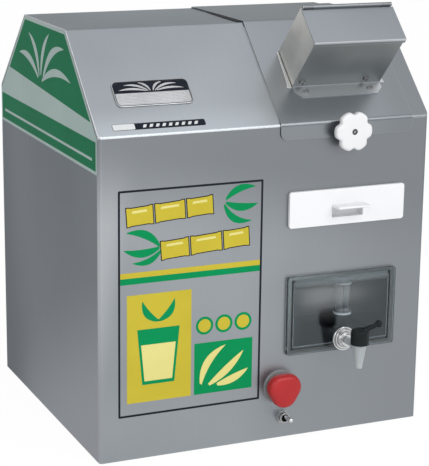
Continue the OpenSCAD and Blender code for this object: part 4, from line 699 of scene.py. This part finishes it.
# Clamp knob: a white moulded knob with six well-rounded lobes on a fixed steel stud, with a plain hub
# behind it and a loose washer under that. The stud's end shows in a dark steel ring that is set in
# the knob's dished front; the ring's darkness is partly painted shade of the bore round the stud.
# Dark steel of the knob's ring: partly painted shade of the bore.
dark_steel = finish(
    "dark_steel", (0.075, 0.075, 0.078), (0.06, 0.06, 0.062), (0.12, 0.12, 0.125),
    grain=(300,) * 3, patches=60.0, rough=(0.29, 0.4), bump=0.1, depth=0.04 * mm, Metallic=1.0,
)
knob_moulding = finish(
    "knob_moulding", (0.73, 0.74, 0.75), (0.70, 0.71, 0.72), (0.76, 0.77, 0.77),
    grain=(260,) * 3, patches=9.0, rough=(0.32, 0.42), bump=0.06, depth=0.05 * mm,
)
dress(zinc, "knob_stud", "knob_washer")
knob_low, knob_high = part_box("clamp_knob")
knob_middle = (knob_low + knob_high) / 2
knob_reach = (knob_high.x - knob_low.x) / 2 + 0.7 * mm
knob_depth = knob_high.y - knob_low.y
knob_rim = 9.0 * mm
knob_back = knob_depth - knob_rim
knob_notch = 3.6 * mm
knob_bore = 4.2 * mm
knob_hub = 8.6 * mm
knob_lobes = 6
knob_steps = 96
knob_profile = [
    (0, knob_bore, 0), (0, knob_hub - 0.5 * mm, 0), (0.5 * mm, knob_hub, 0),
    (knob_back, knob_hub, 0), (knob_back, knob_reach * 0.6, 0.3),
    (knob_back + 0.2 * mm, knob_reach - 2.6 * mm, 0.9), (knob_back + 0.9 * mm, knob_reach - 1.0 * mm, 1),
    (knob_back + 2.4 * mm, knob_reach - 0.1 * mm, 1), (knob_depth - 3.4 * mm, knob_reach, 1),
    (knob_depth - 1.9 * mm, knob_reach - 0.35 * mm, 1), (knob_depth - 0.8 * mm, knob_reach - 1.2 * mm, 1),
    (knob_depth - 0.2 * mm, knob_reach - 2.4 * mm, 0.9), (knob_depth, knob_reach - 4.4 * mm, 0.7),
    (knob_depth, 10.0 * mm, 0), (knob_depth, 6.6 * mm, 0), (knob_depth - 0.1 * mm, 5.2 * mm, 0),
    (knob_depth - 0.28 * mm, 4.0 * mm, 0), (knob_depth - 0.45 * mm, 3.45 * mm, 0),
    (knob_depth - 0.6 * mm, 3.4 * mm, 0), (knob_depth - 0.62 * mm, knob_bore, 0),
]
insert_profile = ((0.64, 1.5), (0.64, 3.38), (0.52, 3.38), (0.5, 3.3), (0.5, 1.5))


def knob_ring(depth, reach, lobed):
    """Ring of the knob at a depth from its back; lobed is how far the notches cut into it."""
    ring = []
    for step in range(knob_steps):
        turn = math.tau * step / knob_steps
        notch = ((1 + math.cos(knob_lobes * turn)) / 2) ** 3.2
        out = reach - lobed * knob_notch * notch
        ring.append((
            knob_middle.x + out * math.sin(turn), knob_high.y - depth, knob_middle.z + out * math.cos(turn),
        ))
    return ring


knob = bmesh.new()
loft(knob, [knob_ring(*row) for row in knob_profile], closed=True)
loft(knob, [
    knob_ring(knob_depth - sunk * mm, reach * mm, 0) for sunk, reach in insert_profile
], closed=True, material=1)
lobed_knob = add_piece("lobed_knob", knob, "clamp_knob", "white_plastic", knob_moulding, dark_steel)
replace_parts(lobed_knob, "clamp_knob")

# Controls: a twist-release stop button with a moulded red head on a grey collar, and below it a
# toggle switch held by a hexagon nut.
red_moulding = finish(
    "red_moulding", (0.42, 0.019, 0.021), (0.37, 0.016, 0.018), (0.52, 0.05, 0.05),
    grain=(260,) * 3, patches=40.0, rough=(0.3, 0.42), bump=0.08, depth=0.05 * mm,
    Specular_IOR_Level=0.3,
)
grey_moulding = finish(
    "grey_moulding", (0.24, 0.245, 0.25), (0.2, 0.205, 0.21), (0.4, 0.4, 0.41),
    grain=(400,) * 3, patches=30.0, rough=(0.36, 0.5), bump=0.1, depth=0.05 * mm,
)
dress(grey_moulding, "stop_base", "stop_plunger")
head_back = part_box("stop_head")[1].y
stem_low, stem_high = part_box("stop_plunger")
head_x, head_z = (stem_low.x + stem_high.x) / 2, (stem_low.z + stem_high.z) / 2
head_reach = 21.0 * mm
dip_depth = 2.8 * mm
head_lobes = 3
head_steps = 72
head_profile = (
    (0, 3.0), (0.4, 1.2), (1.4, 0.3), (3.0, 0), (6.0, 0.15), (8.6, 0.6), (10.4, 1.5), (11.6, 3.0),
    (12.3, 5.2), (12.7, 8.6), (12.9, 13.0), (13.0, 17.5),
)
head = bmesh.new()
head_rings = []
for depth, inset in head_profile:
    ring = []
    for step in range(head_steps):
        turn = math.tau * step / head_steps
        dip = ((1 - math.cos(head_lobes * (turn + math.pi / 2))) / 2) ** 1.5
        out = (head_reach - dip_depth * dip) * (1 - inset * mm / head_reach)
        ring.append((head_x + out * math.cos(turn), head_back - depth * mm, head_z + out * math.sin(turn)))
    head_rings.append(ring)
loft(head, head_rings)
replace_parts(add_piece("domed_head", head, "stop_head", "red_plastic", red_moulding), "stop_head")
dress(zinc, "switch_base")
dress(chrome, "switch_lever")

# Cord gland: a black moulded gland, screwed through a hole in the back panel. It has the same
# finish as the tap's lever.
dress(black_moulding, "cable_gland")

# Front label: screen-printed vinyl film on the lower front. A thin dark frame holds two cane stalks
# with leaves, a double stripe, three discs and two colour blocks with a tumbler and leaves; the steel
# shows between the printed shapes.


def slab(shape, outline, low, high, place, material):
    """Thin closed patch: an outline raised from one height to another over its carrier."""
    foot = [shape.verts.new(place(u, v, low)) for u, v in outline]
    head = [shape.verts.new(place(u, v, high)) for u, v in outline]
    faces = [shape.faces.new(foot[::-1]), shape.faces.new(head)]
    for i in range(len(outline)):
        j = (i + 1) % len(outline)
        faces.append(shape.faces.new((foot[i], foot[j], head[j], head[i])))
    for face in faces:
        face.material_index = material


def rim(shape, outer, inner, low, high, place, material):
    """Thin closed frame between two outlines with as many points."""
    loft(shape, [
        [place(u, v, height) for u, v in outline]
        for outline, height in ((outer, low), (outer, high), (inner, high), (inner, low))
    ], closed=True, material=material)


def block(u0, v0, u1, v1):
    """Outline of a rectangle."""
    return [(u0, v0), (u1, v0), (u1, v1), (u0, v1)]


def circle(u, v, reach, steps=28):
    """Outline of a disc."""
    turns = [math.tau * step / steps for step in range(steps)]
    return [(u + reach * math.cos(turn), v + reach * math.sin(turn)) for turn in turns]


def rounded(u0, v0, u1, v1, reach, steps=5):
    """Outline of a rectangle with rounded corners."""
    left, right, low, high = u0 + reach, u1 - reach, v0 + reach, v1 - reach
    points = []
    for u, v, start in ((right, high, 0), (left, high, 90), (left, low, 180), (right, low, 270)):
        for step in range(steps + 1):
            turn = math.radians(start + 90 * step / steps)
            points.append((u + reach * math.cos(turn), v + reach * math.sin(turn)))
    return points


def blade(foot, tip, width, bend, steps=12):
    """Outline of a leaf blade that bends to one side between its foot and tip."""
    run = Vector(tip) - Vector(foot)
    aside = Vector((-run.y, run.x))
    left, right = [], []
    for step in range(steps + 1):
        share = step / steps
        middle = Vector(foot) + run * share + aside * (bend * 4 * share * (1 - share))
        half = width / 2 * math.sin(math.pi * min(1, share * 0.92 + 0.08)) ** 0.8
        side = aside.normalized() * half
        left.append(tuple(middle + side))
        right.append(tuple(middle - side))
    return left[:-1] + [tuple(tip)] + right[-2::-1]


def ink(name, colour, shade):
    """Printed vinyl: even colour with faint mottling."""
    return finish(
        name, colour, shade, colour, grain=(300,) * 3, patches=14.0, rough=(0.45, 0.55),
        bump=0.03, depth=0.02 * mm, edge_band=0.0, Specular_IOR_Level=0.03,
    )


dark_ink = ink("dark_ink", (0.012, 0.015, 0.022), (0.017, 0.02, 0.028))
yellow_ink = ink("yellow_ink", (0.535, 0.442, 0.044), (0.5, 0.41, 0.04))
light_ink = ink("light_ink", (0.72, 0.66, 0.25), (0.68, 0.62, 0.22))
green_ink = ink("green_ink", (0.004, 0.255, 0.085), (0.004, 0.235, 0.078))
front_inks = (dark_ink, yellow_ink, light_ink, green_ink)
dark, yellow, light, green = range(len(front_inks))
under_coat, first_coat, second_coat, third_coat, juice_coat = 0.1, 0.12, 0.2, 0.24, 0.25
film_low, film_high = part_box("front_label")
cane_lean = math.radians(4)
cane_thick = 19
cane_border = 1.1
cane_gap = 3.2
knuckle_swell, knuckle_end, knuckle_taper = 0.7, 2.2, 5


def on_front(u, v, height):
    """Place on the front film: across, up and outwards, in millimetres."""
    return (u * mm, film_high.y - height * mm, v * mm)


def cane(shape, start, lengths):
    """Jointed cane stalk: dark border, coloured segments and a paler line along the upper side."""
    along = Vector((math.cos(cane_lean), math.sin(cane_lean)))
    across = Vector((-along.y, along.x))
    at = Vector(start)

    def draw(outline, low, high, material):
        """Adds a patch whose outline is given along and across the segment."""
        points = [tuple(at + along * s + across * t) for s, t in outline]
        slab(shape, points, low, high, on_front, material)

    for length in lengths:
        for border, low, high, material in (
            (cane_border, 0.0, first_coat, dark), (0.0, first_coat, second_coat, yellow),
        ):
            half = cane_thick / 2 + border
            knuckle = half + knuckle_swell
            upper = [
                (-border, knuckle), (knuckle_end, knuckle), (knuckle_taper, half),
                (length - knuckle_taper, half), (length - knuckle_end, knuckle), (length + border, knuckle),
            ]
            draw(upper + [(s, -t) for s, t in reversed(upper)], low, high, material)
        low, high = cane_thick * 0.2, cane_thick * 0.34
        draw([(6, low), (length - 6, low), (length - 7, high), (7, high)], second_coat, third_coat, light)
        at += along * (length + cane_gap)


front_print = bmesh.new()
frame_u0, frame_v0 = film_low.x / mm, film_low.z / mm
frame_u1, frame_v1 = film_high.x / mm, film_high.z / mm
frame_width = 2.3
frame_outer = rounded(frame_u0, frame_v0, frame_u1, frame_v1, 1.4)
frame_inner = rounded(
    frame_u0 + frame_width, frame_v0 + frame_width, frame_u1 - frame_width, frame_v1 - frame_width, 0.5,
)
rim(front_print, frame_outer, frame_inner, 0.0, second_coat, on_front, dark)
for foot, tip, width, bend in (
    ((-52, 288), (-16, 300), 8, 0.14), ((-52, 284), (-13, 281), 9, -0.12),
    ((-54, 282), (-20, 262), 8, -0.2), ((-130, 243), (-169, 260), 9, -0.14),
    ((-130, 241), (-172, 241), 9, 0.12), ((-128, 238), (-162, 226), 7, 0.16),
):
    slab(front_print, blade(foot, tip, width, bend), 0.0, under_coat, on_front, green)
cane(front_print, (-168, 277), (30, 34, 30))
cane(front_print, (-128, 237), (32, 36, 30))
for outline, material in (
    (block(-175.5, 209.5, -9.7, 215.5), yellow), (block(-175.5, 202.5, -9.7, 209.5), green),
    (block(-168, 66, -92, 190), yellow), (block(-88, 66, -17, 126), green),
):
    slab(front_print, outline, 0.0, first_coat, on_front, material)
disc_level, disc_reach, core_reach = 146, 10.5, 7.6
for disc_u in (-76, -52.5, -29):
    core = circle(disc_u, disc_level, core_reach)
    rim(front_print, circle(disc_u, disc_level, disc_reach), core, 0.0, first_coat, on_front, green)
    slab(front_print, core, 0.0, under_coat, on_front, yellow)
tumbler = [(-150, 86), (-112, 86), (-106, 150), (-156, 150)]
slab(front_print, tumbler, first_coat, second_coat, on_front, green)
juice = [(-147.4, 90), (-114.6, 90), (-110.6, 132), (-151.4, 132)]
slab(front_print, juice, second_coat, juice_coat, on_front, light)
for foot, tip, width, bend, material in (
    ((-131, 158), (-112, 182), 8, -0.15, green), ((-131, 158), (-150, 182), 8, 0.15, green),
    ((-80, 78), (-50, 121), 9, 0.14, light), ((-70, 76), (-28, 112), 9, -0.04, light),
    ((-60, 75), (-22, 90), 9, -0.06, light),
):
    slab(front_print, blade(foot, tip, width, bend), first_coat, second_coat, on_front, material)
front_label = add_piece("front_print", front_print, "cabinet", "print_vinyl", *front_inks)
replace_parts(front_label, "front_label")

# Side label: one vinyl film cut to the shape of the gable, pale with two printed green fields. The
# upper one has pale cane leaves and the lower one a pale stripe.
pale_ink = ink("pale_ink", (0.37, 0.46, 0.44), (0.34, 0.43, 0.41))
deep_green_ink = ink("deep_green_ink", (0.004, 0.15, 0.065), (0.004, 0.135, 0.058))
pale, deep_green = range(2)
side_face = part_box("side_label")[1].x


def on_side(u, v, height):
    """Place on the side film: towards the back, up and outwards, in millimetres."""
    return (side_face - height * mm, u * mm, v * mm)


def hull(points):
    """Outline round a set of points."""
    points = sorted(set(points))
    rows = []
    for row in (points, points[::-1]):
        chain = []
        for p in row:
            while len(chain) > 1 and (
                (chain[-1][0] - chain[-2][0]) * (p[1] - chain[-2][1])
                - (chain[-1][1] - chain[-2][1]) * (p[0] - chain[-2][0])
            ) <= 0:
                chain.pop()
            chain.append(p)
        rows += chain[:-1]
    return rows


def shrink(outline, inset):
    """Convex outline moved inwards by a distance."""
    moved = []
    count = len(outline)
    for i in range(count):
        before, at, after = (Vector(outline[k % count]) for k in (i - 1, i, i + 1))
        first, second = (at - before).normalized(), (after - at).normalized()
        inward = Vector((-first.y - second.y, first.x + second.x))
        moved.append(tuple(at + inward * (inset / (1 + first.dot(second)))))
    return moved


def clip(outline, slope, level, above):
    """Part of a convex outline above or below the line v = level + slope * u."""
    kept = []
    way = 1 if above else -1
    heights = [(v - level - slope * u) * way for u, v in outline]
    for i in range(len(outline)):
        j = (i + 1) % len(outline)
        (u0, v0), (u1, v1) = outline[i], outline[j]
        if heights[i] >= 0:
            kept.append(outline[i])
        if heights[i] * heights[j] < 0:
            share = heights[i] / (heights[i] - heights[j])
            kept.append((u0 + share * (u1 - u0), v0 + share * (v1 - v0)))
    return kept


plain_label = hull([
    (round(corner.co.y / mm, 2), round(corner.co.z / mm, 2)) for corner in nodes["side_label"].data.vertices
])
wall_level, ridge_level = 350, 400
gable_rise, gable_spread = 2.2, 0.9
gable = [
    (u, v) if v < wall_level else (u + math.copysign(gable_spread, u) * (v > ridge_level), v + gable_rise)
    for u, v in plain_label
]
film_coat, field_coat, leaf_coat = 0.15, 0.22, 0.28
gable_border = 3.4
lower_field_top, upper_field_foot, upper_field_lean = 360, 388, 0.06
side_print = bmesh.new()
slab(side_print, gable, 0.0, film_coat, on_side, pale)
inner_gable = shrink(gable, gable_border)
for lean, level, above in ((0.0, lower_field_top, False), (upper_field_lean, upper_field_foot, True)):
    slab(side_print, clip(inner_gable, lean, level, above), film_coat, field_coat, on_side, deep_green)
for foot, tip, width, bend in (
    ((10, 398), (-92, 410), 9, -0.10), ((6, 402), (-70, 444), 9, -0.14), ((14, 404), (-18, 455), 8, -0.12),
    ((20, 402), (58, 448), 9, 0.14), ((24, 400), (96, 420), 9, 0.12),
):
    slab(side_print, blade(foot, tip, width, bend), field_coat, leaf_coat, on_side, pale)
slab(side_print, block(-160, 338, 160, 341), field_coat, leaf_coat, on_side, pale)
side_label = add_piece("side_print", side_print, "cabinet", "green_vinyl", pale_ink, deep_green_ink)
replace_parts(side_label, "side_label")

# Badge and strip: a die-cast plate with a raised rim, its upper field black with bare leaves and its
# lower field ribbed bare metal, glued on the slope. Under it is a printed strip with slanted dashes,
# pale at its left end.
cast_metal = finish(
    "cast_badge", (0.42, 0.43, 0.44), (0.34, 0.35, 0.36), (0.62, 0.63, 0.64),
    grain=(500,) * 3, patches=40.0, rough=(0.29, 0.4), bump=0.1, depth=0.04 * mm, Metallic=1.0,
)
bare, inked = range(2)
badge_low, badge_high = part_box("badge")
badge_u0, badge_u1 = badge_low.x / mm - 2.6, badge_high.x / mm + 3.6
badge_v0, badge_v1 = 36.6, 70.5
badge_u = (badge_u0 + badge_u1) / 2
badge_corner = 6.5
badge_floor, field_top, rib_top, leaf_top, line_top = 1.1, 1.3, 1.4, 1.5, 1.62
line_outer, line_inner, field_inset, field_foot = 0.9, 1.7, 1.9, 54.5
leaf_foot, leaf_width = 56.4, 2.6
rib_count, rib_start, rib_pitch, rib_width, rib_inset = 7, 40.4, 1.9, 0.8, 7


def badge_outline(inset):
    """Outline of the badge, moved inwards."""
    return rounded(
        badge_u0 + inset, badge_v0 + inset, badge_u1 - inset, badge_v1 - inset, badge_corner - inset,
    )


badge = bmesh.new()
loft(badge, [
    [on_slope(u, v, height) for u, v in badge_outline(inset)]
    for inset, height in ((0, 0), (0, 1.1), (0.25, 1.45), (0.7, 1.6), (1.3, 1.6), (1.6, 1.4), (1.7, 1.1))
])
rim(badge, badge_outline(line_outer), badge_outline(line_inner), field_top, line_top, on_slope, inked)
field = clip(badge_outline(field_inset), 0.0, field_foot, True)
slab(badge, field, badge_floor, field_top, on_slope, inked)
for rib in range(rib_count):
    v = rib_start + rib_pitch * rib
    rib_outline = rounded(badge_u0 + rib_inset, v, badge_u1 - rib_inset, v + rib_width, 0.39, 3)
    slab(badge, rib_outline, badge_floor, rib_top, on_slope, bare)
for way in (-1, 1):
    for foot, out, rise, bend in ((6.0, 38, 58.0, 0.07), (3.8, 31, 64.4, 0.12), (1.6, 14, 67.6, 0.16)):
        leaf = blade((badge_u + way * foot, leaf_foot), (badge_u + way * out, rise), leaf_width, way * bend)
        slab(badge, leaf, field_top, leaf_top, on_slope, bare)
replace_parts(add_piece("cast_badge", badge, "cabinet", "badge_metal", cast_metal, dark_ink), "badge")
white_ink = ink("white_ink", (0.66, 0.68, 0.69), (0.6, 0.62, 0.63))
strip_low, strip_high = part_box("strip_label")
strip_u0, strip_u1 = strip_low.x / mm, strip_high.x / mm
strip_v0, strip_v1 = 7.4, 15.6
strip_film, dash_film, pale_film = 0.14, 0.2, 0.22
strip_border, pale_length = 0.4, 25.4
strip_ink, strip_pale = range(2)
dash_count, dash_start, dash_pitch = 9, 34, 7.4
dash_low, dash_high = 9.6, 13.4
strip = bmesh.new()
slab(strip, rounded(strip_u0, strip_v0, strip_u1, strip_v1, 2.0), 0.0, strip_film, on_slope, strip_ink)
pale_end = rounded(
    strip_u0 + strip_border, strip_v0 + strip_border, strip_u0 + pale_length, strip_v1 - strip_border, 1.6,
)
slab(strip, pale_end, strip_film, pale_film, on_slope, strip_pale)
for dash in range(dash_count):
    u = strip_u0 + dash_start + dash_pitch * dash
    slanted = [(u, dash_low), (u + 3.6, dash_low), (u + 5.6, dash_high), (u + 2.0, dash_high)]
    slab(strip, slanted, strip_film, dash_film, on_slope, strip_pale)
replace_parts(add_piece("printed_strip", strip, "cabinet", "black_vinyl", dark_ink, white_ink), "strip_label")

# Studio: a wide, flat, pale floor under an even white surround, with four soft square lamps. Camera,
# mirror and glass rays see floor and surround white; other rays see a matt floor and less light.
bpy.context.scene.view_settings.view_transform = "Standard"
floor_reach, floor_level = 20.0, -0.2 * mm
floor_mesh = bpy.data.meshes.new("floor")
floor_corners = ((-1, -1), (1, -1), (1, 1), (-1, 1))
floor_mesh.from_pydata(
    [(x * floor_reach, y * floor_reach, floor_level) for x, y in floor_corners], [], [(0, 1, 2, 3)],
)
floor = put_in("floor", floor_mesh)


def seen_directly(tree):
    """1 for camera, mirror and glass rays, which see the white surround."""
    rays = tree.nodes.new("ShaderNodeLightPath")
    total = rays.outputs["Is Camera Ray"]
    for name in ("Is Glossy Ray", "Is Transmission Ray"):
        total = combine(tree, "ADD", total, rays.outputs[name])
        total.node.use_clamp = True
    return total


floor_paint = bpy.data.materials.new("floor_paint")
floor_paint.use_nodes = True
tree = floor_paint.node_tree
tree.nodes.remove(tree.nodes["Principled BSDF"])
matt = tree.nodes.new("ShaderNodeBsdfDiffuse")
matt.inputs["Color"].default_value = (0.9, 0.9, 0.9, 1)
glow = tree.nodes.new("ShaderNodeEmission")
glow.inputs["Strength"].default_value = 1.02
blend = tree.nodes.new("ShaderNodeMixShader")
tree.links.new(combine(tree, "MULTIPLY", seen_directly(tree), 0.93), blend.inputs[0])
tree.links.new(matt.outputs[0], blend.inputs[1])
tree.links.new(glow.outputs[0], blend.inputs[2])
tree.links.new(blend.outputs[0], tree.nodes["Material Output"].inputs["Surface"])
floor_mesh.materials.append(floor_paint)

world = bpy.data.worlds.new("surround")
world.use_nodes = True
bpy.context.scene.world = world
tree = world.node_tree
level = spread(tree, seen_directly(tree), 0.0, 1.0, (0.66, 1.0))
tree.links.new(level, tree.nodes["Background"].inputs["Strength"])
tree.nodes["Background"].inputs["Color"].default_value = (1, 1, 1, 1)


def lamp(name, place, target, size, power):
    """Square soft lamp aimed at a point of the object."""
    light = bpy.data.lights.new(name, "AREA")
    light.shape = "SQUARE"
    light.size = size
    light.energy = power
    body = put_in(name, light)
    body.location = place
    body.rotation_mode = "QUATERNION"
    body.rotation_quaternion = (Vector(target) - Vector(place)).to_track_quat("-Z", "Y")


middle = (0, 0, 0.25)
lamp("key", (0.6, -2.05, 1.65), middle, size=1.5, power=24)
lamp("fill", (-1.6, -1.2, 1.4), middle, size=1.2, power=6)
lamp("front", (-0.3, -2.3, 0.5), middle, size=0.8, power=4)
lamp("roof", (0.5, -0.55, 2.2), (-0.08, -0.1, 0.42), size=0.7, power=1.2)

# Camera: a long lens fitted to the cabinet's corners in the photograph. It stands in front of the
# object and to its left, looks a little down on it and is slightly rolled.
camera_place = (-0.75996, -1.74804, 0.69456)
azimuth, elevation, roll = (math.radians(turn) for turn in (-23.872, 14.4835, 0.7407))
back = Vector((
    math.sin(azimuth) * math.cos(elevation),
    -math.cos(azimuth) * math.cos(elevation),
    math.sin(elevation),
))
level_right = Vector((math.cos(azimuth), math.sin(azimuth), 0))
level_up = back.cross(level_right)
right = math.cos(roll) * level_right + math.sin(roll) * level_up
up = -math.sin(roll) * level_right + math.cos(roll) * level_up
camera_data = bpy.data.cameras.new("camera")
camera_data.lens = 124.96
camera_data.sensor_width = 36.0
camera = put_in("camera", camera_data)
camera_turn = Matrix((right, up, back)).transposed().to_4x4()
camera.matrix_world = Matrix.Translation(camera_place) @ camera_turn
bpy.context.scene.camera = camera
